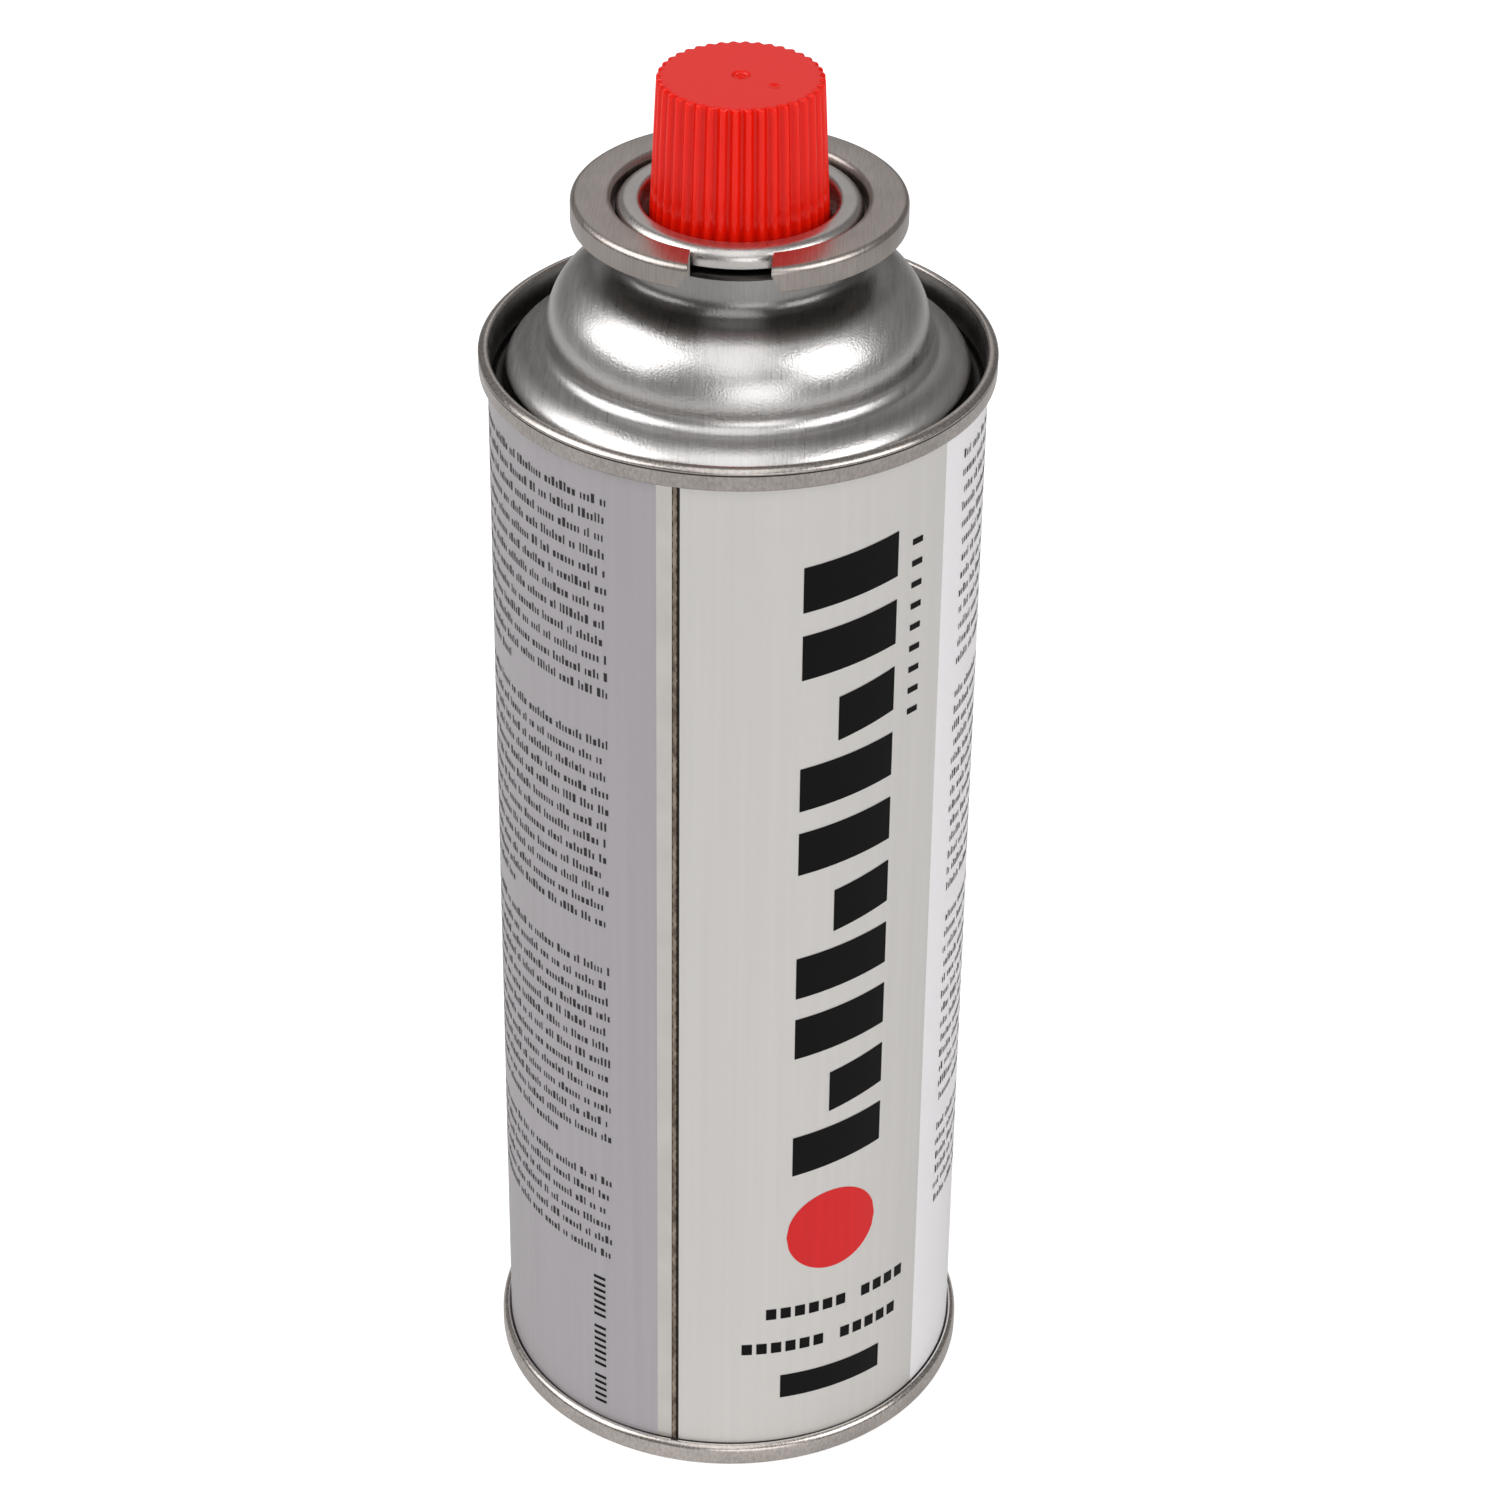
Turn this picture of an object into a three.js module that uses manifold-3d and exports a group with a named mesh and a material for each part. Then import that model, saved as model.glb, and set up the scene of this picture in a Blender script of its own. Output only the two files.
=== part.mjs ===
// Fuel canister with a notched bayonet collar, a spring valve and a pull-off cap.
// Millimetres, +Z up. The origin is the centre of the bottom rim and the collar's notch faces -Y.
import * as THREE from 'three';
import { mergeVertices } from 'three/addons/utils/BufferGeometryUtils.js';
import Module from 'manifold-3d';

const wasm = await Module();
wasm.setup();

// Clearances and facets
const FIT_GAP = 0.3;
const CAN_FACETS = 64;
const CUP_FACETS = 48;
const VALVE_FACETS = 24;

// Seams and body wall
const RIM_HEIGHT = 164.1;
const SEAM_RADIUS = 33.8;
const SEAM_HEIGHT = 3.2;
const SEAM_THICKNESS = 1.4;
const SEAM_PROUD = 1.25;
const SEAM_EDGE = 0.4;
const SEAM_HOOK = 0.25;

// Bottom end, domed inwards against the pressure
const BOTTOM_COUNTERSINK = 4.6;
const BOTTOM_RISE = 11.5;
const BOTTOM_CORNER = 1.4;

// Top end: countersink moat, brushed ledge, bulging dome and neck
const MOAT_DEPTH = 5.5;
const MOAT_WIDTH = 1.8;
const CHUCK_TAPER = 0.3;
const LEDGE_BELOW_RIM = 0.55;
const LEDGE_SHOULDER = 1.0;
const LEDGE_RISE = 1.3;
const DOME_RADIUS = 24.9;
const DOME_ARC = 9.06;
const DOME_CENTRE_ABOVE_RIM = 2.7;
const DOME_FOOT_FILLET = 1.0;
const DOME_ARC_END = 78;
const NECK_FILLET = 1.9;

// Valve cup: bead over the mouth's curl, well and pedestal
const CUP_BORE = 12.65;
const CUP_SHEET = 0.4;
const BEAD_RADIUS = 1.625;
const BEAD_SKIRT = 0.85;
const BEAD_INNER_CORNER = 0.75;
const BEAD_CENTRE_ABOVE_RIM = 19.3;
const WELL_DEPTH = 6.2;
const WELL_CORNER = 0.6;
const PEDESTAL_BELOW_BEAD = 2.0;

// Collar ring, clinched under the bead
const COLLAR_GAP = 0.5;
const COLLAR_WIDTH = 5.2;
const COLLAR_SHEET = 0.8;
const COLLAR_ROLL = 0.9;
const COLLAR_SKIRT = 3.3;
const COLLAR_ABOVE_BEAD = 0.3;
const NOTCH_WIDTH = 10.4;
const NOTCH_FLARE = 1.3;

// Valve stem, gasket, housing and spring
const STEM_RADIUS = 2.0;
const STEM_PROUD = 9.0;
const STEM_BORE = 1.0;
const STEM_BORE_DEPTH = 10.2;
const STEM_ORIFICE = 0.4;
const STEM_FLANGE_STEP = 1.3;
const STEM_FLANGE_HEIGHT = 1.2;
const STEM_TAIL_RADIUS = 1.3;
const STEM_TAIL_LENGTH = 2.0;
const GASKET_HEIGHT = 1.0;
const FLANGE_GAP = 0.4;
const HOUSING_WALL = 0.8;
const HOUSING_DEPTH = 9.5;
const HOUSING_FLOOR = 1.2;
const NIPPLE_RADIUS = 1.7;
const NIPPLE_LENGTH = 4.0;
const NIPPLE_BORE = 0.7;
const SPRING_WIRE = 0.35;
const SPRING_TURNS = 4.5;
const SPRING_STEPS_PER_TURN = 14;

// Cap: fluted shell with a sleeve that grips the pedestal
const CAP_TOP_RADIUS = 10.65;
const CAP_SIDE_GAP = 0.95;
const CAP_HEIGHT = 22.5;
const CAP_WALL = 1.0;
const CAP_ROOF = 1.2;
const CAP_RIBS = 40;
const RIB_DEPTH = 0.55;
const RIB_FACETS = 4;
const CAP_EDGE = 0.5;
const SLEEVE_WALL = 0.95;
const GATE_RADIUS = 1.1;
const GATE_DEPTH = 0.3;

// Heights worked out from the ones above
const beadCentre = RIM_HEIGHT + BEAD_CENTRE_ABOVE_RIM;
const beadTop = beadCentre + BEAD_RADIUS;
const beadFoot = beadCentre - BEAD_SKIRT;
const wellFloor = beadTop - WELL_DEPTH;
const wellUnderside = wellFloor - CUP_SHEET;
const pedestalTop = beadTop - PEDESTAL_BELOW_BEAD;
const gasketTop = pedestalTop - CUP_SHEET - FIT_GAP;
const gasketFoot = gasketTop - GASKET_HEIGHT;
const housingTop = gasketFoot - FIT_GAP;
const housingFoot = housingTop - HOUSING_DEPTH;
const nippleFoot = housingFoot - NIPPLE_LENGTH;
const flangeTop = housingTop;
const flangeFoot = flangeTop - STEM_FLANGE_HEIGHT;
const stemTop = pedestalTop + STEM_PROUD;
const capFoot = wellFloor + FIT_GAP;
const capTop = capFoot + CAP_HEIGHT;

// Radii worked out from the ones above
const bodyRadius = SEAM_RADIUS - SEAM_PROUD;
const seamInner = SEAM_RADIUS - SEAM_THICKNESS;
const beadMiddle = CUP_BORE + BEAD_RADIUS;
const beadOuter = beadMiddle + BEAD_RADIUS;
const curlRadius = BEAD_RADIUS - CUP_SHEET - FIT_GAP;
const neckRadius = beadMiddle + curlRadius;
const mouthRadius = beadMiddle - curlRadius;
const collarInner = beadOuter + COLLAR_GAP;
const collarOuter = collarInner + COLLAR_WIDTH;
const stemHole = STEM_RADIUS + FIT_GAP;
const flangeRadius = STEM_RADIUS + STEM_FLANGE_STEP;
const housingBore = flangeRadius + FLANGE_GAP;
const housingRadius = housingBore + HOUSING_WALL;
const pedestalBore = housingRadius + FIT_GAP;
const pedestalRadius = pedestalBore + CUP_SHEET;
const sleeveBore = pedestalRadius + FIT_GAP;
const sleeveRadius = sleeveBore + SLEEVE_WALL;
const capFootRadius = CUP_BORE - CAP_SIDE_GAP;

const at = (radius, height) => new THREE.Vector2(radius, height);

// Points of a circular arc in the profile plane, from one angle in degrees to another.
function arc(centre, radius, start, end, steps) {
  const points = [];
  for (let step = 0; step <= steps; step += 1) {
    const angle = THREE.MathUtils.degToRad(start + ((end - start) * step) / steps);
    points.push(at(centre.x + radius * Math.cos(angle), centre.y + radius * Math.sin(angle)));
  }
  return points;
}

// A closed solid from a geometry: its shared corners are merged and its flattened triangles dropped.
function toSolid(geometry) {
  geometry.deleteAttribute('normal');
  geometry.deleteAttribute('uv');
  const merged = mergeVertices(geometry, 1e-3);
  const corners = merged.index.array;
  const kept = [];
  for (let first = 0; first < corners.length; first += 3) {
    const [a, b, c] = corners.slice(first, first + 3);
    if (a !== b && b !== c && c !== a) kept.push(a, b, c);
  }
  return new wasm.Manifold(new wasm.Mesh({
    numProp: 3,
    vertProperties: new Float32Array(merged.attributes.position.array),
    triVerts: new Uint32Array(kept),
  }));
}

function toGeometry(solid) {
  const mesh = solid.getMesh();
  const geometry = new THREE.BufferGeometry();
  geometry.setAttribute('position', new THREE.BufferAttribute(mesh.vertProperties, 3));
  geometry.setIndex(new THREE.BufferAttribute(mesh.triVerts, 1));
  geometry.computeVertexNormals();
  return geometry;
}

// A profile of (radius, height) points turned about Z. It starts and ends on the axis or closes on itself.
function revolve(profile, facets) {
  const outline = THREE.ShapeUtils.isClockWise(profile) ? profile.slice().reverse() : profile;
  const closed = outline[0].x > 0 ? [...outline, outline[0].clone()] : outline;
  return toSolid(new THREE.LatheGeometry(closed, facets).rotateX(Math.PI / 2));
}

// A skin over rings of points, with a fan at each end.
function loft(rings) {
  const count = rings[0].length;
  const positions = rings.flat().flatMap((point) => [point.x, point.y, point.z]);
  const faces = [];
  for (let level = 0; level + 1 < rings.length; level += 1) {
    for (let step = 0; step < count; step += 1) {
      const low = level * count + step;
      const lowNext = level * count + ((step + 1) % count);
      faces.push(low, lowNext, low + count, lowNext, lowNext + count, low + count);
    }
  }
  const last = (rings.length - 1) * count;
  const bottomHub = rings.length * count;
  positions.push(0, 0, rings[0][0].z, 0, 0, rings.at(-1)[0].z);
  for (let step = 0; step < count; step += 1) {
    const next = (step + 1) % count;
    faces.push(bottomHub, next, step, bottomHub + 1, last + step, last + next);
  }
  const geometry = new THREE.BufferGeometry();
  geometry.setAttribute('position', new THREE.Float32BufferAttribute(positions, 3));
  geometry.setIndex(faces);
  return toSolid(geometry);
}

// The sealed can: bottom end, seam, body wall, seam, top end and the mouth that takes the valve.
function canSolid() {
  const bottomSpan = seamInner - BOTTOM_CORNER;
  const bottomSag = BOTTOM_RISE - BOTTOM_COUNTERSINK - BOTTOM_CORNER / 2;
  const bottomArc = (bottomSpan ** 2 + bottomSag ** 2) / (2 * bottomSag);
  const bottomSweep = THREE.MathUtils.radToDeg(Math.asin(bottomSpan / bottomArc));
  const bottomEnd = arc(at(0, BOTTOM_RISE - bottomArc), bottomArc, 90, 90 - bottomSweep, 4);

  const lowSeamInner = arc(at(seamInner + SEAM_EDGE, SEAM_EDGE), SEAM_EDGE, 180, 270, 2);
  const lowSeamOuter = arc(at(SEAM_RADIUS - SEAM_EDGE, SEAM_EDGE), SEAM_EDGE, -90, 0, 2);
  const highSeamOuter = arc(at(SEAM_RADIUS - SEAM_EDGE, RIM_HEIGHT - SEAM_EDGE), SEAM_EDGE, 0, 90, 2);
  const highSeamInner = arc(at(seamInner + SEAM_EDGE, RIM_HEIGHT - SEAM_EDGE), SEAM_EDGE, 90, 180, 2);

  const moatOuter = seamInner - CHUCK_TAPER;
  const moatCentre = at(moatOuter - MOAT_WIDTH / 2, RIM_HEIGHT - MOAT_DEPTH + MOAT_WIDTH / 2);
  const ledgeWall = moatOuter - MOAT_WIDTH;
  const ledgeHeight = RIM_HEIGHT - LEDGE_BELOW_RIM;
  const domeCentre = at(DOME_RADIUS - DOME_ARC, RIM_HEIGHT + DOME_CENTRE_ABOVE_RIM);
  const footCentre = at(DOME_RADIUS + DOME_FOOT_FILLET, ledgeHeight + LEDGE_RISE + DOME_FOOT_FILLET);
  const dome = arc(domeCentre, DOME_ARC, 0, DOME_ARC_END, 6);
  const domeEnd = dome.at(-1);
  const neckFillet = new THREE.QuadraticBezierCurve(
    domeEnd,
    at(neckRadius, domeEnd.y + 0.2 * NECK_FILLET),
    at(neckRadius, domeEnd.y + 1.2 * NECK_FILLET),
  );

  return revolve([
    ...bottomEnd,
    at(seamInner - BOTTOM_CORNER / 3, BOTTOM_COUNTERSINK),
    at(seamInner, BOTTOM_COUNTERSINK - BOTTOM_CORNER / 2),
    ...lowSeamInner,
    ...lowSeamOuter,
    at(SEAM_RADIUS, SEAM_HEIGHT - SEAM_EDGE),
    at(SEAM_RADIUS - SEAM_EDGE, SEAM_HEIGHT),
    at(bodyRadius, SEAM_HEIGHT + SEAM_HOOK),
    at(bodyRadius, RIM_HEIGHT - SEAM_HEIGHT - SEAM_HOOK),
    at(SEAM_RADIUS - SEAM_EDGE, RIM_HEIGHT - SEAM_HEIGHT),
    at(SEAM_RADIUS, RIM_HEIGHT - SEAM_HEIGHT + SEAM_EDGE),
    ...highSeamOuter,
    ...highSeamInner,
    ...arc(moatCentre, MOAT_WIDTH / 2, 0, -180, 4),
    ...arc(at(ledgeWall - LEDGE_SHOULDER, ledgeHeight - LEDGE_SHOULDER), LEDGE_SHOULDER, 0, 70, 3),
    ...arc(footCentre, DOME_FOOT_FILLET, 250, 180, 2),
    ...dome,
    ...neckFillet.getPoints(3).slice(1),
    ...arc(at(beadMiddle, beadCentre), curlRadius, 0, 180, 4),
    at(mouthRadius, wellUnderside - FIT_GAP),
    at(housingRadius + FIT_GAP, wellUnderside - FIT_GAP),
    at(housingRadius + FIT_GAP, nippleFoot - FIT_GAP),
    at(0, nippleFoot - FIT_GAP),
  ], CAN_FACETS);
}

// The notch is parallel-sided through the flange and flares at the skirt, as a punched and rolled cut does.
function notchCutter() {
  const reach = collarOuter + COLLAR_SHEET;
  const start = collarInner / 2;
  const skirtStart = collarOuter - COLLAR_ROLL;
  const top = beadTop + COLLAR_ABOVE_BEAD + COLLAR_SHEET;
  const foot = top - COLLAR_SKIRT - 2 * COLLAR_SHEET;
  const slot = new THREE.BoxGeometry(NOTCH_WIDTH, reach - start, top - foot)
    .translate(0, -(reach + start) / 2, (top + foot) / 2);
  const half = NOTCH_WIDTH / 2;
  const flareShape = new THREE.Shape([
    at(-half, top),
    at(-half - NOTCH_FLARE, foot + COLLAR_SHEET),
    at(half + NOTCH_FLARE, foot + COLLAR_SHEET),
    at(half, top),
  ]);
  const flare = new THREE.ExtrudeGeometry(flareShape, { depth: reach - skirtStart, bevelEnabled: false })
    .rotateX(Math.PI / 2)
    .translate(0, -skirtStart, 0);
  return toSolid(slot).add(toSolid(flare));
}

// Pressed ring: rolled outer skirt, flat top, and an inner wall whose foot tucks under the cup's bead.
function collarSolid() {
  const top = beadTop + COLLAR_ABOVE_BEAD;
  const underside = top - COLLAR_SHEET;
  const footTop = beadFoot - FIT_GAP;
  const corner = COLLAR_SHEET / 4;
  const ring = revolve([
    at(collarOuter - COLLAR_SHEET, top - COLLAR_SKIRT),
    at(collarOuter, top - COLLAR_SKIRT),
    ...arc(at(collarOuter - COLLAR_ROLL, top - COLLAR_ROLL), COLLAR_ROLL, 0, 90, 3),
    ...arc(at(collarInner + COLLAR_ROLL, top - COLLAR_ROLL), COLLAR_ROLL, 90, 180, 3),
    at(collarInner, footTop),
    at(neckRadius + FIT_GAP, footTop),
    at(neckRadius + FIT_GAP, footTop - COLLAR_SHEET),
    at(collarInner + COLLAR_SHEET, footTop - COLLAR_SHEET),
    at(collarInner + COLLAR_SHEET, underside - corner),
    at(collarInner + COLLAR_SHEET + corner, underside),
    at(collarOuter - COLLAR_SHEET - corner, underside),
    at(collarOuter - COLLAR_SHEET, underside - corner),
  ], CUP_FACETS);
  return ring.subtract(notchCutter());
}

// Stamped cup: bead, well, and the pedestal that holds the valve.
function cupSolid() {
  const bead = at(beadMiddle, beadCentre);
  const innerBend = at(CUP_BORE + BEAD_INNER_CORNER, beadTop - BEAD_INNER_CORNER);
  const corner = CUP_SHEET;
  return revolve([
    at(beadOuter, beadFoot),
    ...arc(bead, BEAD_RADIUS, 0, 90, 3),
    ...arc(innerBend, BEAD_INNER_CORNER, 90, 180, 2),
    at(CUP_BORE, wellFloor + WELL_CORNER),
    at(CUP_BORE - WELL_CORNER, wellFloor),
    at(pedestalRadius + corner, wellFloor),
    at(pedestalRadius, wellFloor + corner),
    at(pedestalRadius, pedestalTop - corner),
    at(pedestalRadius - corner, pedestalTop),
    at(stemHole, pedestalTop),
    at(stemHole, pedestalTop - CUP_SHEET),
    at(pedestalBore, pedestalTop - CUP_SHEET),
    at(pedestalBore, wellUnderside),
    at(CUP_BORE + CUP_SHEET, wellUnderside),
    ...arc(innerBend, BEAD_INNER_CORNER - CUP_SHEET, 180, 90, 1),
    ...arc(bead, BEAD_RADIUS - CUP_SHEET, 90, 0, 3),
    at(beadOuter - CUP_SHEET, beadFoot),
  ], CUP_FACETS);
}

// Hollow stem with a flange under the gasket and a cross orifice that the gasket closes at rest.
function stemSolid() {
  const boreFoot = stemTop - STEM_BORE_DEPTH;
  const lead = STEM_BORE / 2;
  const stem = revolve([
    at(0, flangeFoot - STEM_TAIL_LENGTH),
    at(STEM_TAIL_RADIUS, flangeFoot - STEM_TAIL_LENGTH),
    at(STEM_TAIL_RADIUS, flangeFoot),
    at(flangeRadius, flangeFoot),
    at(flangeRadius, flangeTop),
    at(STEM_RADIUS, flangeTop),
    at(STEM_RADIUS, stemTop - lead),
    at(STEM_RADIUS - lead / 2, stemTop),
    at(STEM_BORE, stemTop),
    at(STEM_BORE, boreFoot),
    at(0, boreFoot),
  ], VALVE_FACETS);
  const orifice = new THREE.CylinderGeometry(STEM_ORIFICE, STEM_ORIFICE, STEM_RADIUS * 2, 8)
    .translate(0, STEM_RADIUS, 0)
    .rotateZ(-Math.PI / 2)
    .translate(0, 0, boreFoot + STEM_ORIFICE);
  return stem.subtract(toSolid(orifice));
}

function gasketSolid() {
  return revolve([
    at(stemHole, gasketFoot),
    at(housingRadius, gasketFoot),
    at(housingRadius, gasketTop),
    at(stemHole, gasketTop),
  ], VALVE_FACETS);
}

// Housing with a nipple below, drilled right through.
function housingSolid() {
  return revolve([
    at(NIPPLE_BORE, nippleFoot),
    at(NIPPLE_RADIUS, nippleFoot),
    at(NIPPLE_RADIUS, housingFoot),
    at(housingRadius, housingFoot),
    at(housingRadius, housingTop),
    at(housingBore, housingTop),
    at(housingBore, housingFoot + HOUSING_FLOOR),
    at(NIPPLE_BORE, housingFoot + HOUSING_FLOOR),
  ], VALVE_FACETS);
}

// Round-wire compression spring between the housing's floor and the stem's flange.
function springSolid() {
  const coil = (housingBore + STEM_TAIL_RADIUS) / 2;
  const low = housingFoot + HOUSING_FLOOR + FIT_GAP + SPRING_WIRE;
  const high = flangeFoot - FIT_GAP - SPRING_WIRE;
  const steps = Math.round(SPRING_TURNS * SPRING_STEPS_PER_TURN);
  const points = Array.from({ length: steps + 1 }, (_, step) => {
    const angle = (2 * Math.PI * SPRING_TURNS * step) / steps;
    return new THREE.Vector3(coil * Math.cos(angle), coil * Math.sin(angle), low + ((high - low) * step) / steps);
  });
  const wire = new THREE.Shape(new THREE.EllipseCurve(0, 0, SPRING_WIRE, SPRING_WIRE, 0, 2 * Math.PI)
    .getPoints(6).slice(0, 6));
  return toSolid(new THREE.ExtrudeGeometry(wire, { steps, extrudePath: new THREE.CatmullRomCurve3(points) }));
}

// Ring of points round the cap, one rounded rib after another.
function ribbedRing(tipRadius, ribDepth, height) {
  const count = CAP_RIBS * RIB_FACETS;
  return Array.from({ length: count }, (_, step) => {
    const angle = (2 * Math.PI * step) / count;
    const dip = ribDepth * (1 - Math.abs(Math.cos((angle * CAP_RIBS) / 2)));
    const radius = tipRadius - dip;
    return new THREE.Vector3(radius * Math.cos(angle), radius * Math.sin(angle), height);
  });
}

// Fluted cap, hollow between its wall and the sleeve that slides over the pedestal.
function capSolid() {
  const shell = loft([
    ribbedRing(capFootRadius, RIB_DEPTH, capFoot),
    ribbedRing(CAP_TOP_RADIUS, RIB_DEPTH, capTop - CAP_EDGE),
    ribbedRing(CAP_TOP_RADIUS - CAP_EDGE / 3, RIB_DEPTH, capTop - CAP_EDGE / 3),
    ribbedRing(CAP_TOP_RADIUS - CAP_EDGE, RIB_DEPTH / 2, capTop),
  ]);
  const roof = capTop - CAP_ROOF;
  const below = capFoot - CAP_WALL;
  const wallAtFoot = capFootRadius - RIB_DEPTH - CAP_WALL;
  const wallAtRoof = CAP_TOP_RADIUS - RIB_DEPTH - CAP_WALL;
  const hollow = revolve([
    at(sleeveRadius, below),
    at(wallAtFoot, below),
    at(wallAtFoot, capFoot),
    at(wallAtRoof, roof),
    at(sleeveRadius, roof),
  ], CUP_FACETS);
  const bore = revolve([at(0, below), at(sleeveBore, below), at(sleeveBore, roof), at(0, roof)], CUP_FACETS);
  const gate = revolve([
    at(0, capTop - GATE_DEPTH),
    at(GATE_RADIUS, capTop - GATE_DEPTH),
    at(GATE_RADIUS, capTop + GATE_DEPTH),
    at(0, capTop + GATE_DEPTH),
  ], VALVE_FACETS);
  return shell.subtract(hollow).subtract(bore).subtract(gate);
}

const finishes = {
  tinplate: new THREE.MeshStandardMaterial({ color: 0xc9c7c3, roughness: 0.32, metalness: 1.0 }),
  plated: new THREE.MeshStandardMaterial({ color: 0xa8a29b, roughness: 0.36, metalness: 1.0 }),
  redPlastic: new THREE.MeshStandardMaterial({ color: 0xe12a1e, roughness: 0.28, metalness: 0.0 }),
  acetal: new THREE.MeshStandardMaterial({ color: 0xe6e2d6, roughness: 0.5, metalness: 0.0 }),
  rubber: new THREE.MeshStandardMaterial({ color: 0x1c1c1c, roughness: 0.8, metalness: 0.0 }),
  springSteel: new THREE.MeshStandardMaterial({ color: 0xb9bbbd, roughness: 0.3, metalness: 1.0 }),
};

const group = new THREE.Group();

function place(name, solid, finish) {
  const mesh = new THREE.Mesh(toGeometry(solid), finish);
  mesh.name = name;
  group.add(mesh);
}

place('can', canSolid(), finishes.tinplate);
place('collar_ring', collarSolid(), finishes.plated);
place('valve_cup', cupSolid(), finishes.plated);
place('stem_gasket', gasketSolid(), finishes.rubber);
place('valve_housing', housingSolid(), finishes.acetal);
place('valve_spring', springSolid(), finishes.springSteel);
place('valve_stem', stemSolid(), finishes.acetal);
place('cap', capSolid(), finishes.redPlastic);

export default group;
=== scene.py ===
"""Looks of a sealed fuel canister: tinplate can, notched collar, stem valve and red ribbed cap.

Sizes are in millimetres until a mesh is made. Azimuths are in degrees, from the collar's notch
at -Y round towards +X.
"""

from __future__ import annotations

import logging
import math
import random
from dataclasses import dataclass, field
from enum import Enum, IntEnum

import bmesh
import bpy
from mathutils import Matrix, Vector

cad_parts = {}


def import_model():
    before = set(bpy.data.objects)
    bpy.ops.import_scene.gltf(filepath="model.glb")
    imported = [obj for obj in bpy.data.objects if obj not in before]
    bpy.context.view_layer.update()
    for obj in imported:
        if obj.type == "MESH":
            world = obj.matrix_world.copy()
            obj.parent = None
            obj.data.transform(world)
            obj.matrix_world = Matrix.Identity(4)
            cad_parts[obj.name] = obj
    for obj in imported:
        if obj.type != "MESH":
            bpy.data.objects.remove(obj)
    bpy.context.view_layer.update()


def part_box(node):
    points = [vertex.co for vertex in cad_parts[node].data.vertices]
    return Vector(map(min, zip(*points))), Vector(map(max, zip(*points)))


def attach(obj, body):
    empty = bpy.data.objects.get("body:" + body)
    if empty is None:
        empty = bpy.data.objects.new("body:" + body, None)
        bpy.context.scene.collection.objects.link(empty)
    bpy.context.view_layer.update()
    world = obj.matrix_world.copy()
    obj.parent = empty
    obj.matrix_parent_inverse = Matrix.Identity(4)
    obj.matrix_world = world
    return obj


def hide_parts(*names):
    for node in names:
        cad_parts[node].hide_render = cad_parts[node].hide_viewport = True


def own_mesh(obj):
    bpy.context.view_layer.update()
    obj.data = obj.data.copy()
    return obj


LOG = logging.getLogger("canister")
MM = 0.001

Profile = list[tuple[float, float]]
Colour = tuple[float, float, float]
Stops = tuple[tuple[float, float], ...]

# Share of a finish's colour that is left at each height. On the dome: painted shade in the crease at the ledge
# and in a band round the neck.
DOME_PAINTED_SHADE: Stops = (
    (163.2, 1.0),
    (163.9, 0.72),
    (164.5, 0.72),
    (165.3, 1.0),
    (174.2, 1.0),
    (175.2, 0.5),
    (176.9, 0.32),
    (177.9, 0.52),
)
# On the seams: a painted highlight on the bottom seam's bulge, the top seam painted darker than the bottom one,
# and a painted highlight along the rim's crest.
SEAM_PAINTED_LIGHT: Stops = ((2.3, 0.9), (2.8, 1.0), (20.0, 0.97), (150.0, 0.725), (163.5, 0.725), (163.95, 1.0))
# On the collar: painted shade on the skirt below its rolled edge.
SKIRT_PAINTED_SHADE: Stops = ((182.6, 0.7), (184.4, 0.7), (185.0, 1.0))
# Radius and height of the cap's wall at its foot and at its top, on the tips of its ribs.
CAP_WALL = ((11.7, 179.125), (10.65, 201.625))
# Depth in millimetres under the ribs' tips at which the painted shade in the cap's grooves is full.
CAP_GROOVE_SHADE_DEPTH = 0.5


class Body(Enum):
    """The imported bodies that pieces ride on."""

    CANISTER = "canister"
    STEM = "stem"
    CAP = "cap"


class Slot(Enum):
    """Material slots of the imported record."""

    TINPLATE = "tinplate"
    PLATED = "plated_steel"
    RUBBER = "seal_rubber"
    ACETAL = "acetal"
    SPRING = "spring_steel"
    CAP = "cap_red"


class Panel(IntEnum):
    """The can's finishes, in the order of its materials."""

    DOME = 0
    SEAM = 1
    SIDE = 2
    FRONT = 3
    STRIP = 4
    # Near-black tinplate as painted shade: deep in the moat, under the neck's curl, in the crevice over the
    # bottom seam and in the crease under the rim.
    PAINTED_SHADOW = 5
    WELD_EDGE = 6


def arc(centre: tuple[float, float], radius: float, start: float, end: float, steps: int) -> Profile:
    """Points of a circular arc in the profile plane.

    Args:
        centre: Radius and height of the arc's centre.
        radius: Radius of the arc.
        start: First angle in degrees, from the outward direction.
        end: Last angle in degrees.
        steps: Number of chords.

    Returns:
        The arc's points, both ends included.
    """
    points = []
    for step in range(steps + 1):
        angle = math.radians(start + (end - start) * step / steps)
        points.append((centre[0] + radius * math.cos(angle), centre[1] + radius * math.sin(angle)))
    return points


def bezier(
    first: tuple[float, float], pull: tuple[float, float], last: tuple[float, float], steps: int
) -> Profile:
    """Points of a quadratic curve in the profile plane.

    Args:
        first: Where the curve starts.
        pull: The point that it leans towards.
        last: Where the curve ends.
        steps: Number of chords.

    Returns:
        The curve's points after the first.
    """
    points = []
    for step in range(1, steps + 1):
        t = step / steps
        weights = ((1 - t) ** 2, 2 * t * (1 - t), t**2)
        points.append(tuple(sum(w * p[i] for w, p in zip(weights, (first, pull, last))) for i in (0, 1)))
    return points


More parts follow.
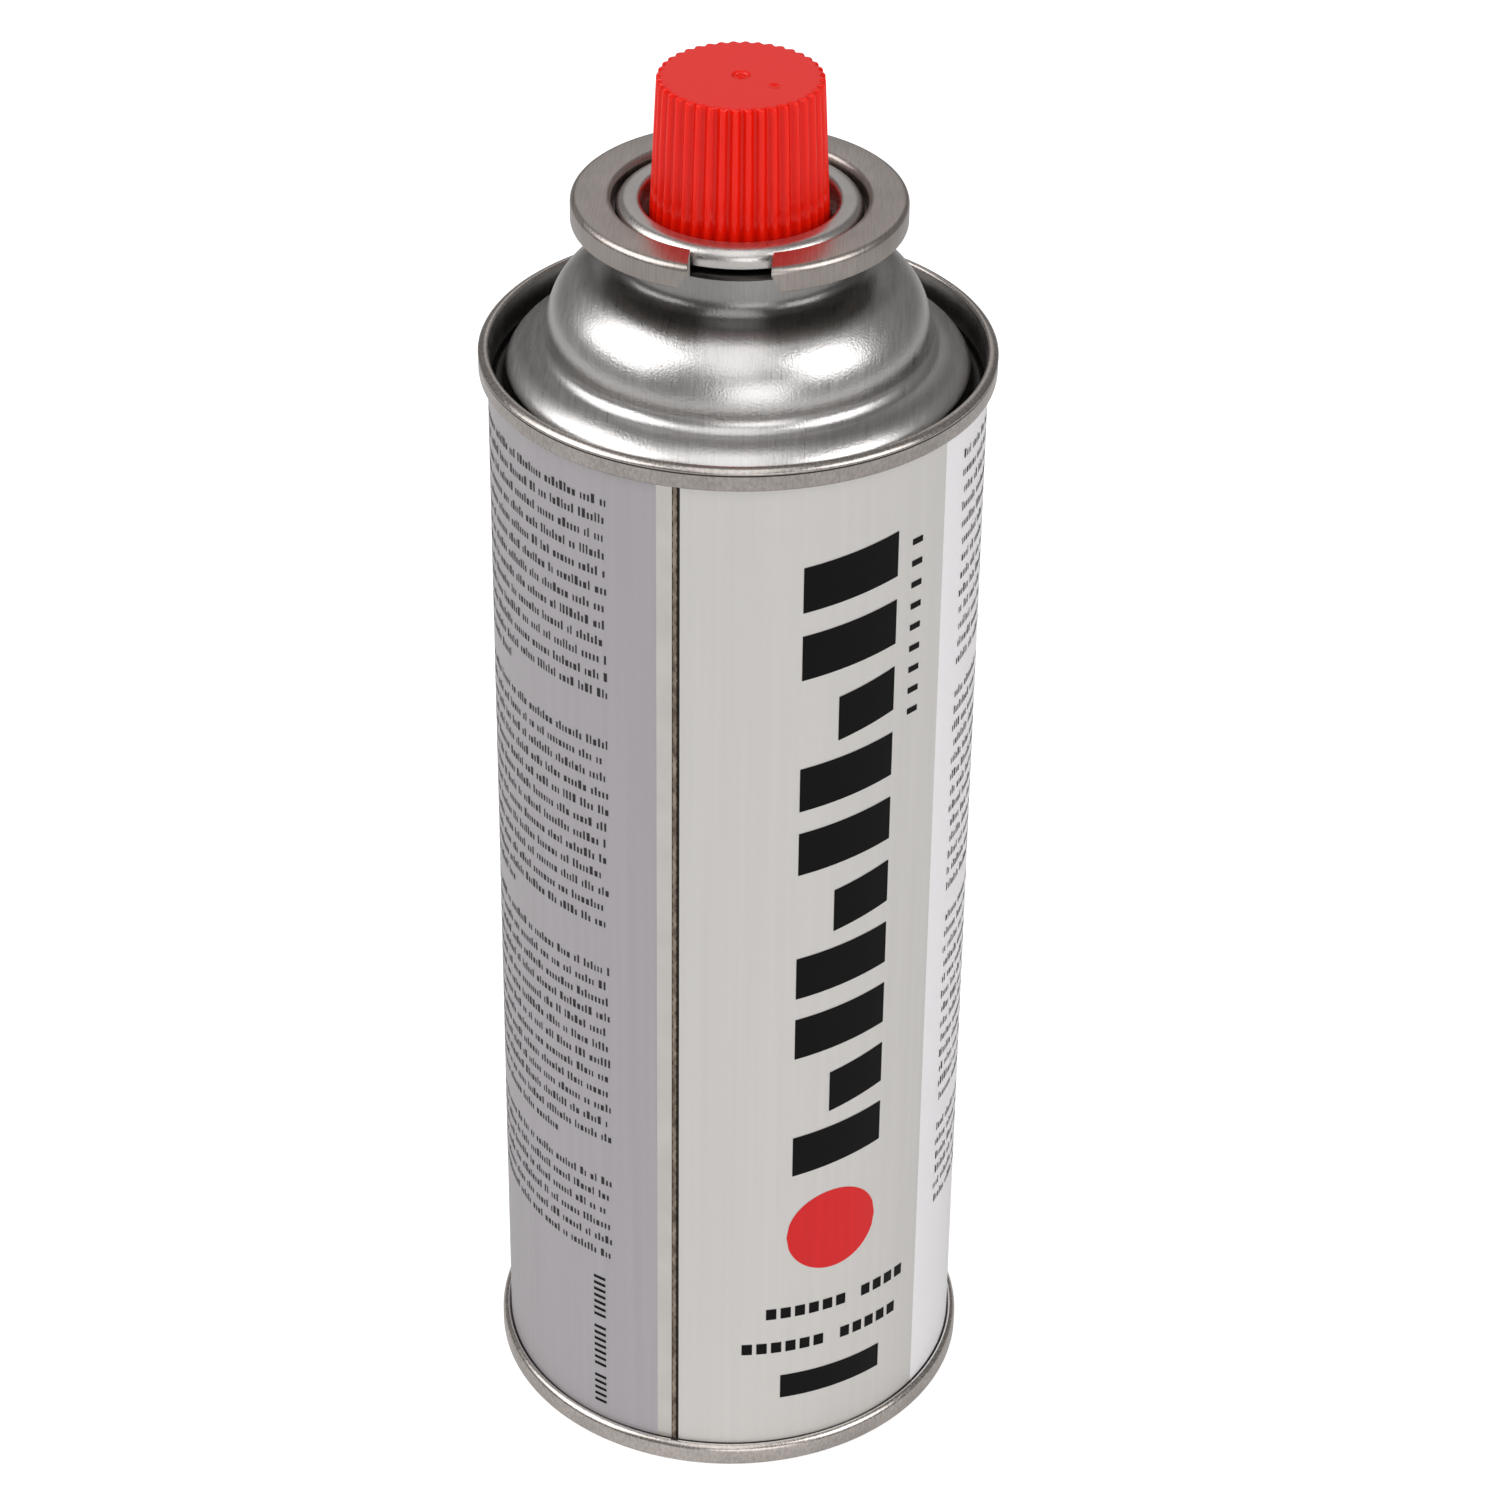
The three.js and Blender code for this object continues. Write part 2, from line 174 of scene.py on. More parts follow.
def turn(profile: Profile, steps: int, closed: bool = False) -> bmesh.types.BMesh:
    """Turns a profile about the canister's axis.

    Args:
        profile: Radius and height of each point, in millimetres.
        steps: Number of facets round the axis.
        closed: Whether the last point joins the first.

    Returns:
        A mesh with its seam and poles merged and its faces pointing out.
    """
    shape = bmesh.new()
    verts = [shape.verts.new((0.0, -radius * MM, height * MM)) for radius, height in profile]
    pairs = list(zip(verts, verts[1:]))
    if closed:
        pairs.append((verts[-1], verts[0]))
    edges = [shape.edges.new(pair) for pair in pairs]
    bmesh.ops.spin(
        shape,
        geom=verts + edges,
        cent=(0, 0, 0),
        axis=(0, 0, 1),
        angle=math.tau,
        steps=steps,
        use_merge=True,
    )
    bmesh.ops.remove_doubles(shape, verts=shape.verts, dist=1e-3 * MM)
    bmesh.ops.recalc_face_normals(shape, faces=shape.faces)
    return shape


def azimuth_of(point: Vector) -> float:
    """Azimuth of a point in degrees, from the notch towards +X."""
    return math.degrees(math.atan2(point.x, -point.y))


def around(radius: float, azimuth: float, height: float) -> Vector:
    """A point in metres from its radius, azimuth and height in millimetres and degrees."""
    angle = math.radians(azimuth)
    return Vector((radius * math.sin(angle), -radius * math.cos(angle), height)) * MM


def face_outward(shape: bmesh.types.BMesh) -> None:
    """Points every face of an open sheet round the can away from the axis.

    Args:
        shape: The sheet's mesh.
    """
    shape.normal_update()
    inward = [face for face in shape.faces if face.normal.dot(face.calc_center_median().xy.to_3d()) < 0]
    bmesh.ops.reverse_faces(shape, faces=inward)


def finish_piece(
    shape: bmesh.types.BMesh,
    name: str,
    materials: list[bpy.types.Material],
    body: Body,
    replaced: tuple[str, ...] = (),
    crease: float = 40.0,
) -> bpy.types.Object:
    """Makes the scene's object from a mesh, shades it and hangs it on its body.

    Args:
        shape: The finished mesh, which is freed.
        name: Name of the piece.
        materials: Materials by face index.
        body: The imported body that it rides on.
        replaced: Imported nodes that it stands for.
        crease: Angle in degrees past which an edge stays sharp.

    Returns:
        The new object.
    """
    mesh = bpy.data.meshes.new(name)
    for face in shape.faces:
        face.smooth = True
    shape.to_mesh(mesh)
    shape.free()
    mesh.set_sharp_from_angle(angle=math.radians(crease))
    for material in materials:
        mesh.materials.append(material)
    piece = bpy.data.objects.new(name, mesh)
    bpy.context.scene.collection.objects.link(piece)
    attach(piece, body.value)
    if replaced:
        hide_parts(*replaced)
    LOG.info("%s: %d faces on %s", name, len(mesh.polygons), body.value)
    return piece


class Nodes:
    """A material's node tree, with short calls to add and join nodes."""

    def __init__(self, name: str) -> None:
        """Starts a surface material with a Principled shader.

        Args:
            name: Name of the material.
        """
        self.material = bpy.data.materials.new(name)
        self.material.use_nodes = True
        self.tree = self.material.node_tree
        self.shader = self.tree.nodes["Principled BSDF"]
        self.position = self.add("ShaderNodeTexCoord").outputs["Object"]

    def add(self, kind: str, **settings: object) -> bpy.types.Node:
        """Adds a node and sets its properties.

        Args:
            kind: Type of the node.
            settings: The node's properties by name.

        Returns:
            The new node.
        """
        node = self.tree.nodes.new(kind)
        for key, value in settings.items():
            setattr(node, key, value)
        return node

    def join(self, source: bpy.types.NodeSocket, target: bpy.types.NodeSocket) -> None:
        """Links one socket to another."""
        self.tree.links.new(source, target)

    def drive(self, socket: str, source: bpy.types.NodeSocket) -> None:
        """Links a socket to one of the shader's own."""
        self.join(source, self.shader.inputs[socket])

    def preset(self, values: dict[str, object]) -> None:
        """Sets constants on the shader's own sockets, by name."""
        for socket, value in values.items():
            self.shader.inputs[socket].default_value = value

    def axis(self, name: str) -> bpy.types.NodeSocket:
        """Takes one of the object's coordinates.

        Args:
            name: X, Y or Z.

        Returns:
            The coordinate's socket, in metres.
        """
        axes = self.add("ShaderNodeSeparateXYZ")
        self.join(self.position, axes.inputs["Vector"])
        return axes.outputs[name]

    def span(
        self, value: bpy.types.NodeSocket, start: float, end: float, low: float = 0.0, high: float = 1.0
    ) -> bpy.types.NodeSocket:
        """Maps one range on to another and holds it at both ends.

        Args:
            value: Socket of the value.
            start: Value that becomes the low one.
            end: Value that becomes the high one.
            low: Low end of the new range.
            high: High end of the new range.

        Returns:
            The mapped value's socket.
        """
        node = self.add("ShaderNodeMapRange")
        for socket, number in zip(("From Min", "From Max", "To Min", "To Max"), (start, end, low, high)):
            node.inputs[socket].default_value = number
        self.join(value, node.inputs["Value"])
        return node.outputs["Result"]

    def spread(self, value: bpy.types.NodeSocket, low: float, high: float) -> bpy.types.NodeSocket:
        """Maps the middle half of a noise on to a range."""
        return self.span(value, 0.25, 0.75, low, high)

    def noise(self, scale: tuple[float, float, float], detail: float = 3.0) -> bpy.types.NodeSocket:
        """Noise with its own fineness along each axis.

        Args:
            scale: Noise cells per metre along X, Y and Z.
            detail: Octaves of finer noise.

        Returns:
            The noise value's socket.
        """
        mapping = self.add("ShaderNodeMapping")
        mapping.inputs["Scale"].default_value = scale
        texture = self.add("ShaderNodeTexNoise")
        texture.inputs["Scale"].default_value = 1.0
        texture.inputs["Detail"].default_value = detail
        self.join(self.position, mapping.inputs["Vector"])
        self.join(mapping.outputs["Vector"], texture.inputs["Vector"])
        return texture.outputs["Fac"]

    def ramp(
        self, value: bpy.types.NodeSocket, low: float, high: float, first: Colour, last: Colour
    ) -> bpy.types.NodeSocket:
        """Colours between two stops.

        Args:
            value: The socket that drives it.
            low: Value of the first stop.
            high: Value of the last stop.
            first: Colour at and below the first stop.
            last: Colour at and above the last stop.

        Returns:
            The colour's socket.
        """
        node = self.add("ShaderNodeValToRGB")
        for element, place, colour in zip(node.color_ramp.elements, (low, high), (first, last)):
            element.position = place
            element.color = (*colour, 1)
        self.join(value, node.inputs["Fac"])
        return node.outputs["Color"]

    def mottled(self, value: bpy.types.NodeSocket, colour: Colour, mottle: float) -> bpy.types.NodeSocket:
        """Makes a colour a little darker and lighter with a noise.

        Args:
            value: Socket of the noise.
            colour: The colour in the middle.
            mottle: Share by which it changes either way.

        Returns:
            The colour's socket.
        """
        dark = tuple(c * (1 - mottle) for c in colour)
        light = tuple(min(1.0, c * (1 + mottle)) for c in colour)
        return self.ramp(value, 0.3, 0.7, dark, light)

    def mix(self, near: bpy.types.NodeSocket, far: Colour, share: bpy.types.NodeSocket) -> bpy.types.NodeSocket:
        """Mixes a plain colour into another.

        Args:
            near: Socket of the colour where the share is 0.
            far: The plain colour, where the share is 1.
            share: Socket of the share.

        Returns:
            The mixed colour's socket.
        """
        node = self.add("ShaderNodeMix", data_type="RGBA")
        self.join(share, node.inputs["Factor"])
        self.join(near, node.inputs[6])
        node.inputs[7].default_value = (*far, 1)
        return node.outputs[2]

    def multiply(self, colour: bpy.types.NodeSocket, share: bpy.types.NodeSocket) -> bpy.types.NodeSocket:
        """Multiplies two colours.

        Args:
            colour: Socket of the colour.
            share: Socket of the share of it that is left.

        Returns:
            The product's socket.
        """
        node = self.add("ShaderNodeMix", data_type="RGBA", blend_type="MULTIPLY")
        node.inputs["Factor"].default_value = 1.0
        self.join(colour, node.inputs[6])
        self.join(share, node.inputs[7])
        return node.outputs[2]

    def shade(self, colour: bpy.types.NodeSocket, stops: Stops) -> bpy.types.NodeSocket:
        """Darkens a colour by height, as painted shade, and as a painted highlight where it is darkened less.

        Args:
            colour: Socket of the colour.
            stops: Heights in millimetres, rising, each with the share of the colour left there.

        Returns:
            The shaded colour's socket.
        """
        low, high = stops[0][0], stops[-1][0]
        ramp = self.add("ShaderNodeValToRGB")
        elements = ramp.color_ramp.elements
        while len(elements) < len(stops):
            elements.new(0.5)
        for element, (height, left) in zip(elements, stops):
            element.position = (height - low) / (high - low)
            element.color = (left, left, left, 1)
        self.join(self.span(self.axis("Z"), low * MM, high * MM), ramp.inputs["Fac"])
        return self.multiply(colour, ramp.outputs["Color"])

    def hollow(self, foot: tuple[float, float], top: tuple[float, float], depth: float) -> bpy.types.NodeSocket:
        """Measures how far a place lies under the surface of a cone about the axis.

        Args:
            foot: Radius and height of the cone's foot, in millimetres.
            top: Radius and height of its top.
            depth: Depth in millimetres at which the share reaches 1.

        Returns:
            Socket of the share, 0 on the cone.
        """
        flat = self.add("ShaderNodeCombineXYZ")
        for name in ("X", "Y"):
            self.join(self.axis(name), flat.inputs[name])
        radius = self.add("ShaderNodeVectorMath", operation="LENGTH")
        self.join(flat.outputs["Vector"], radius.inputs[0])
        cone = self.span(self.axis("Z"), foot[1] * MM, top[1] * MM, foot[0] * MM, top[0] * MM)
        under = self.add("ShaderNodeMath", operation="SUBTRACT")
        self.join(cone, under.inputs[0])
        self.join(radius.outputs["Value"], under.inputs[1])
        return self.span(under.outputs[0], 0.0, depth * MM)

    def bump(
        self, height: bpy.types.NodeSocket, depth: float, under: bpy.types.Node | None = None
    ) -> bpy.types.Node:
        """Adds a bump to the surface.

        Args:
            height: Socket of the bump's height.
            depth: Its depth in millimetres.
            under: An earlier bump that it lies over.

        Returns:
            The bump's node.
        """
        node = self.add("ShaderNodeBump")
        node.inputs["Distance"].default_value = depth * MM
        node.inputs["Strength"].default_value = 1.0
        self.join(height, node.inputs["Height"])
        if under is not None:
            self.join(under.outputs["Normal"], node.inputs["Normal"])
        self.drive("Normal", node.outputs["Normal"])
        return node


class Grain(Enum):
    """How the finest texture of a metal runs, as noise cells per metre along X, Y and Z."""

    ROLLED_ALONG_Y = (5200.0, 260.0, 260.0)
    UP_THE_WALL = (4200.0, 4200.0, 60.0)
    SPECKLED = (3000.0, 3000.0, 3000.0)
    SCUFFED = (2600.0, 2600.0, 1500.0)


@dataclass(frozen=True)
class Metal:
    """Bare or plated steel with rolling grain and a faint mottle."""

    name: str
    colour: Colour
    roughness: float
    grain: Grain
    grain_depth: float = 0.006
    mottle: float = 0.06
    speckle_depth: float = 0.0
    # Painted light and shade by height, as stops of the share of colour left.
    shade: Stops = ()
    fleck: float = 0.0

    def build(self) -> bpy.types.Material:
        """Builds the material.

        Returns:
            The material.
        """
        nodes = Nodes(self.name)
        nodes.preset({"Metallic": 1.0})
        colour = nodes.mottled(nodes.noise((160.0, 160.0, 160.0), 4.0), self.colour, self.mottle)
        if self.shade:
            colour = nodes.shade(colour, self.shade)
        lines = nodes.noise(self.grain.value)
        if self.fleck:
            flecks = nodes.ramp(lines, 0.36, 0.62, (1 - self.fleck,) * 3, (1.0, 1.0, 1.0))
            colour = nodes.multiply(colour, flecks)
        nodes.drive("Base Color", colour)
        nodes.drive("Roughness", nodes.spread(lines, self.roughness * 0.86, self.roughness * 1.16))
        under = nodes.bump(lines, self.grain_depth)
        if self.speckle_depth:
            nodes.bump(nodes.noise(Grain.SPECKLED.value, 2.0), self.speckle_depth, under)
        return nodes.material


@dataclass(frozen=True)
class Paint:
    """Lithographed coat over the tinplate, with the sheet's grain showing through.

    Where a far colour is given, the coat fades into it towards +X, over the fade's millimetres: a painted
    reflection, with the side towards +X painted bright.
    """

    name: str
    colour: Colour
    roughness: float
    metallic: float = 0.0
    coat: float = 0.15
    grain_depth: float = 0.002
    mottle: float = 0.03
    shine: float = 0.5
    far: Colour | None = None
    fade: float = 24.0

    def build(self) -> bpy.types.Material:
        """Builds the material.

        Returns:
            The material.
        """
        nodes = Nodes(self.name)
        nodes.preset(
            {
                "Metallic": self.metallic,
                "Coat Weight": self.coat,
                "Coat Roughness": 0.22,
                "Specular IOR Level": self.shine,
            }
        )
        colour = nodes.mottled(nodes.noise((900.0, 900.0, 14.0), 4.0), self.colour, self.mottle)
        if self.far is not None:
            colour = nodes.mix(colour, self.far, nodes.span(nodes.axis("X"), 0.0, self.fade * MM))
        nodes.drive("Base Color", colour)
        lines = nodes.noise(Grain.UP_THE_WALL.value)
        nodes.drive("Roughness", nodes.spread(lines, self.roughness * 0.9, self.roughness * 1.1))
        nodes.bump(lines, self.grain_depth)
        return nodes.material


@dataclass(frozen=True)
class Plastic:
    """Moulded plastic with a faint skin texture, and painted shade in the cap's grooves where a colour for them
    is given.
    """

    name: str
    colour: Colour
    roughness: float
    scatter: float = 0.0
    skin_depth: float = 0.004
    shine: float = 0.5
    groove_shade: Colour | None = None

    def build(self) -> bpy.types.Material:
        """Builds the material.

        Returns:
            The material.
        """
        nodes = Nodes(self.name)
        nodes.preset(
            {
                "Specular IOR Level": self.shine,
                "Subsurface Weight": self.scatter,
                "Subsurface Radius": (1.0, 0.2, 0.1),
                "Subsurface Scale": 0.8 * MM,
            }
        )
        dark = tuple(c * 0.95 for c in self.colour)
        colour = nodes.ramp(nodes.noise((240.0, 240.0, 120.0)), 0.3, 0.7, dark, self.colour)
        if self.groove_shade is not None:
            colour = nodes.mix(colour, self.groove_shade, nodes.hollow(*CAP_WALL, CAP_GROOVE_SHADE_DEPTH))
        nodes.drive("Base Color", colour)
        skin = nodes.noise((1500.0, 1500.0, 900.0), 2.0)
        nodes.drive("Roughness", nodes.spread(skin, self.roughness * 0.85, self.roughness * 1.15))
        nodes.bump(skin, self.skin_depth)
        return nodes.material


@dataclass(frozen=True)
class WeldScorch:
    """Oxide on the side weld, in two tones that change from nugget to nugget."""

    name: str
    burnt: Colour
    pale: Colour

    def build(self) -> bpy.types.Material:
        """Builds the material.

        Returns:
            The material.
        """
        nodes = Nodes(self.name)
        nodes.preset({"Metallic": 0.4, "Specular IOR Level": 0.2})
        nuggets = nodes.noise((900.0, 900.0, 420.0))
        nodes.drive("Base Color", nodes.ramp(nuggets, 0.36, 0.66, self.burnt, self.pale))
        nodes.drive("Roughness", nodes.spread(nuggets, 0.42, 0.62))
        nodes.bump(nuggets, 0.012)
        return nodes.material


@dataclass
class Finishes:
    """Every finish of the canister, built once."""

    dome: bpy.types.Material = field(init=False)
    seam: bpy.types.Material = field(init=False)
    moat: bpy.types.Material = field(init=False)
    bare_strip: bpy.types.Material = field(init=False)
    front_panel: bpy.types.Material = field(init=False)
    side_panel: bpy.types.Material = field(init=False)
    weld: bpy.types.Material = field(init=False)
    weld_edge: bpy.types.Material = field(init=False)
    plated: bpy.types.Material = field(init=False)
    cup: bpy.types.Material = field(init=False)
    red_cap: bpy.types.Material = field(init=False)
    black_ink: bpy.types.Material = field(init=False)
    grey_ink: bpy.types.Material = field(init=False)
    red_ink: bpy.types.Material = field(init=False)
    acetal: bpy.types.Material = field(init=False)
    rubber: bpy.types.Material = field(init=False)
    spring: bpy.types.Material = field(init=False)

    def __post_init__(self) -> None:
        """Builds the materials from their colours."""
        # Dome tinplate, with painted shade in its creases at the ledge and the neck.
        self.dome = Metal(
            "dome_tinplate", (0.66, 0.645, 0.635), 0.31,
            Grain.ROLLED_ALONG_Y, 0.0024, 0.03, 0.03, DOME_PAINTED_SHADE, 0.10,
        ).build()
        # Seam tinplate, with the seams' painted highlights and painted shade by height.
        self.seam = Metal(
            "seam_tinplate", (0.62, 0.568, 0.534), 0.25, Grain.SCUFFED, 0.0014, 0.08, 0.0, SEAM_PAINTED_LIGHT, 0.22
        ).build()
        # Near-black tinplate, painted shade for the moat's depth, the curl's underside and the seam's crevice
        # and crease.
        self.moat = Metal("painted_shadow_tinplate", (0.05, 0.046, 0.043), 0.34, Grain.UP_THE_WALL, 0.005, 0.08).build()
        self.bare_strip = Metal("bare_strip", (0.66, 0.63, 0.60), 0.36, Grain.UP_THE_WALL, 0.004, 0.05).build()
        self.front_panel = Paint("front_lacquer", (0.70, 0.68, 0.655), 0.42, 0.5, 0.1, 0.004, 0.02).build()
        # Side lacquer, fading to near white towards +X as painted light.
        self.side_panel = Paint(
            "side_lacquer_painted_light", (0.44, 0.415, 0.435), 0.42, 0.3, 0.1, far=(0.96, 0.94, 0.96)
        ).build()
        self.weld = WeldScorch("weld_scorch", (0.12, 0.09, 0.066), (0.36, 0.295, 0.23)).build()
        self.weld_edge = WeldScorch("weld_burn", (0.008, 0.006, 0.005), (0.03, 0.022, 0.016)).build()
        # Collar steel, with painted shade on its skirt.
        self.plated = Metal(
            "collar_steel", (0.55, 0.495, 0.46), 0.32,
            Grain.ROLLED_ALONG_Y, 0.0020, 0.07, 0.02, SKIRT_PAINTED_SHADE, 0.16,
        ).build()
        self.cup = Metal("cup_steel", (0.60, 0.575, 0.555), 0.30, Grain.SPECKLED, 0.02, 0.05).build()
        # Red cap, darker in its grooves as painted shade.
        self.red_cap = Plastic(
            "red_polythene", (0.95, 0.013, 0.003), 0.20, 0.0, 0.0004, 0.3, (0.77, 0.007, 0.001)
        ).build()
        self.black_ink = Paint("black_ink", (0.005, 0.0045, 0.0045), 0.45, 0.0, 0.0, 0.002, 0.05, 0.08).build()
        self.grey_ink = Paint("grey_ink", (0.035, 0.033, 0.035), 0.45, 0.0, 0.0, 0.002, 0.05, 0.1).build()
        self.red_ink = Paint("red_ink", (0.70, 0.018, 0.02), 0.42, 0.0, 0.0, 0.002, 0.04, 0.2).build()
        self.acetal = Plastic("acetal", (0.78, 0.75, 0.66), 0.45, 0.1).build()
        self.rubber = Plastic("seal_rubber", (0.02, 0.02, 0.02), 0.7).build()
        self.spring = Metal("spring_wire", (0.56, 0.57, 0.58), 0.26, Grain.SPECKLED, 0.003, 0.04).build()


@dataclass
class Can:
    """The sealed can: bottom end, body wall, two double seams and the domed top end with its neck."""

    seam_radius: float
    rim_height: float = 164.1
    seam_height: float = 3.2
    seam_thickness: float = 1.4
    seam_proud: float = 1.25
    seam_edge: float = 0.45
    seam_shoulder: float = 1.0
    seam_inset: float = 0.07
    bottom_countersink: float = 4.6
    bottom_rise: float = 11.5
    bottom_corner: float = 1.4
    moat_depth: float = 5.5
    moat_width: float = 1.8
    # Depth under the rim below which the moat is painted dark as shade.
    moat_dark_below: float = 2.6
    chuck_taper: float = 0.3
    ledge_below_rim: float = 0.55
    ledge_shoulder: float = 2.6
    ledge_rise: float = 0.85
    dome_radius: float = 24.9
    dome_arc: float = 9.06
    dome_centre_above_rim: float = 2.7
    dome_foot_fillet: float = 1.9
    dome_arc_end: float = 78.0
    neck_fillet: float = 1.9
    neck_radius: float = 15.2
    curl_radius: float = 0.925
    neck_waist: float = 14.1
    neck_below_rim: float = 16.5
    neck_waist_below: float = 1.7
    rim_edge: float = 0.42
    crease_below_rim: float = 1.0
    curl_above_rim: float = 19.3
    mouth_floor: float = 178.125
    valve_pocket: float = 4.8
    pocket_floor: float = 167.0
    facets: int = 360
    weld_left: float = -11.05
    weld_right: float = -9.25
    strip_left: float = -14.7
    front_right: float = 58.0
    weld_ridge: float = 0.06
    weld_rows: int = 420

    @property
    def wall_radius(self) -> float:
        """Radius of the body wall."""
        return self.seam_radius - self.seam_proud

    @property
    def wall_low(self) -> float:
        """Height where the body wall leaves the bottom seam."""
        return self.seam_height

    @property
    def wall_high(self) -> float:
        """Height where the body wall meets the top seam."""
        return self.rim_height - self.seam_height - 0.25

    def profile(self) -> Profile:
        """The can's section, from the axis under the bottom to the axis in the valve's pocket.

        Returns:
            Section as radius and height of each point, in millimetres.
        """
        inner = self.seam_radius - self.seam_thickness
        edge = self.seam_edge
        span = inner - self.bottom_corner
        sag = self.bottom_rise - self.bottom_countersink - self.bottom_corner / 2
        bend = (span**2 + sag**2) / (2 * sag)
        sweep = math.degrees(math.asin(span / bend))
        ledge = self.rim_height - self.ledge_below_rim
        moat_outer = inner - self.chuck_taper
        moat_inner = moat_outer - self.moat_width
        moat_bend = self.moat_width / 2
        dome_centre = (self.dome_radius - self.dome_arc, self.rim_height + self.dome_centre_above_rim)
        foot = self.dome_foot_fillet
        foot_centre = (self.dome_radius + foot, ledge + self.ledge_rise + foot)
        dome = arc(dome_centre, self.dome_arc, 0, self.dome_arc_end, 30)
        crown = dome[-1]
        curl = (self.neck_radius - self.curl_radius, self.rim_height + self.curl_above_rim)
        outer_edge = self.seam_radius - edge
        inner_edge = inner + edge
        rim = self.rim_edge
        bulge = self.seam_shoulder
        waist = curl[1] - self.neck_waist_below
        return [
            *arc((0, self.bottom_rise - bend), bend, 90, 90 - sweep, 16),
            *bezier(
                (span, self.bottom_countersink + self.bottom_corner / 2),
                (inner, self.bottom_countersink + self.bottom_corner / 2),
                (inner, self.bottom_countersink - self.bottom_corner / 2),
                5,
            ),
            *arc((inner_edge, edge), edge, 180, 270, 5),
            *arc((outer_edge, edge), edge, -90, 0, 5),
            *arc((self.seam_radius - bulge, self.seam_height - bulge), bulge, 0, 84, 10),
            (self.wall_radius + 0.14, self.seam_height - 0.16),
            (self.wall_radius, self.wall_low),
            (self.wall_radius, self.wall_high),
            (self.wall_radius + 0.12, self.rim_height - self.seam_height),
            *arc((outer_edge - self.seam_inset, self.rim_height - self.seam_height + edge), edge, -80, 0, 4),
            (self.seam_radius - self.seam_inset, self.rim_height - self.crease_below_rim),
            (self.seam_radius - self.seam_inset, self.rim_height - self.crease_below_rim + 0.22),
            *bezier(
                (self.seam_radius, self.rim_height - self.crease_below_rim + 0.3),
                (self.seam_radius - 0.2, self.rim_height - 0.2),
                (inner + 1.1 * rim, self.rim_height),
                10,
            ),
            *arc((inner + rim, self.rim_height - rim), rim, 90, 180, 8),
            *arc(
                (moat_outer - moat_bend, self.rim_height - self.moat_depth + moat_bend), moat_bend, 0, -180, 10
            ),
            (moat_inner, ledge - self.ledge_shoulder),
            *bezier(
                (moat_inner, ledge - self.ledge_shoulder),
                (moat_inner, ledge - 0.5),
                (self.dome_radius + 0.85 * foot, ledge + self.ledge_rise),
                12,
            ),
            *arc(foot_centre, foot, 250, 180, 7),
            *dome,
            *bezier(
                crown,
                (self.neck_radius, crown[1] + 0.2 * self.neck_fillet),
                (self.neck_radius, crown[1] + 1.2 * self.neck_fillet),
                8,
            ),
            (self.neck_radius, waist - 1.1),
            *bezier(
                (self.neck_radius, waist - 1.1), (self.neck_radius, waist - 0.5), (self.neck_waist, waist), 5
            ),
            *arc(curl, self.curl_radius, -100, 180, 16),
            (curl[0] - self.curl_radius, self.mouth_floor),
            (self.valve_pocket, self.mouth_floor),
            (self.valve_pocket, self.pocket_floor),
            (0, self.pocket_floor),
        ]

    def build(self, finishes: Finishes) -> bpy.types.Object:
        """Builds the can, with its printed panels as faces of the wall itself.

        Args:
            finishes: The built materials.

        Returns:
            The can's object.
        """
        shape = turn(self.profile(), self.facets)
        for border in (self.weld_left, self.weld_right, self.strip_left, self.front_right):
            normal = around(1.0, border + 90.0, 0.0).normalized()
            bmesh.ops.bisect_plane(
                shape,
                geom=shape.verts[:] + shape.edges[:] + shape.faces[:],
                plane_co=(0, 0, 0),
                plane_no=normal,
                dist=1e-5 * MM,
            )
        for face in shape.faces:
            face.material_index = self.panel_at(face.calc_center_median()).value
        materials = [
            finishes.dome,
            finishes.seam,
            finishes.side_panel,
            finishes.front_panel,
            finishes.bare_strip,
            finishes.moat,
            finishes.weld_edge,
        ]
        return finish_piece(shape, "can_shell", materials, Body.CANISTER, ("can",))

    def panel_at(self, centre: Vector) -> Panel:
        """Chooses the finish of a face of the can.

        Args:
            centre: The face's middle, in metres.

        Returns:
            The finish that it takes.
        """
        height = centre.z / MM
        radius = math.hypot(centre.x, centre.y) / MM
        azimuth = azimuth_of(centre)
        inner = self.seam_radius - self.seam_thickness
        on_wall = radius > self.wall_radius - 0.1 and self.wall_low - 0.02 < height < self.wall_high + 0.02
        if not on_wall:
            if radius > inner - 0.01:
                # The crevice over the bottom seam and the crease under the rim take painted shade.
                in_crevice = radius < self.wall_radius + 0.14 and abs(height - self.seam_height) < 0.2
                below_rim = self.rim_height - height
                in_crease = radius > self.wall_radius + 1.0 and 0 < self.crease_below_rim - below_rim < 0.24
                return Panel.PAINTED_SHADOW if in_crevice or in_crease else Panel.SEAM
            in_moat = height > self.wall_low and radius > inner - self.moat_width - 2 * self.chuck_taper
            # Under the curl and deep in the moat the tinplate is painted dark as shade.
            under_curl = radius < self.neck_radius - 0.02 and height > self.rim_height + self.neck_below_rim
            deep = in_moat and height < self.rim_height - self.moat_dark_below
            return Panel.PAINTED_SHADOW if under_curl or deep else Panel.DOME
        if self.strip_left < azimuth < self.weld_left:
            return Panel.STRIP
        if self.weld_left <= azimuth < self.weld_right:
            return Panel.WELD_EDGE
        return Panel.FRONT if self.weld_right <= azimuth < self.front_right else Panel.SIDE

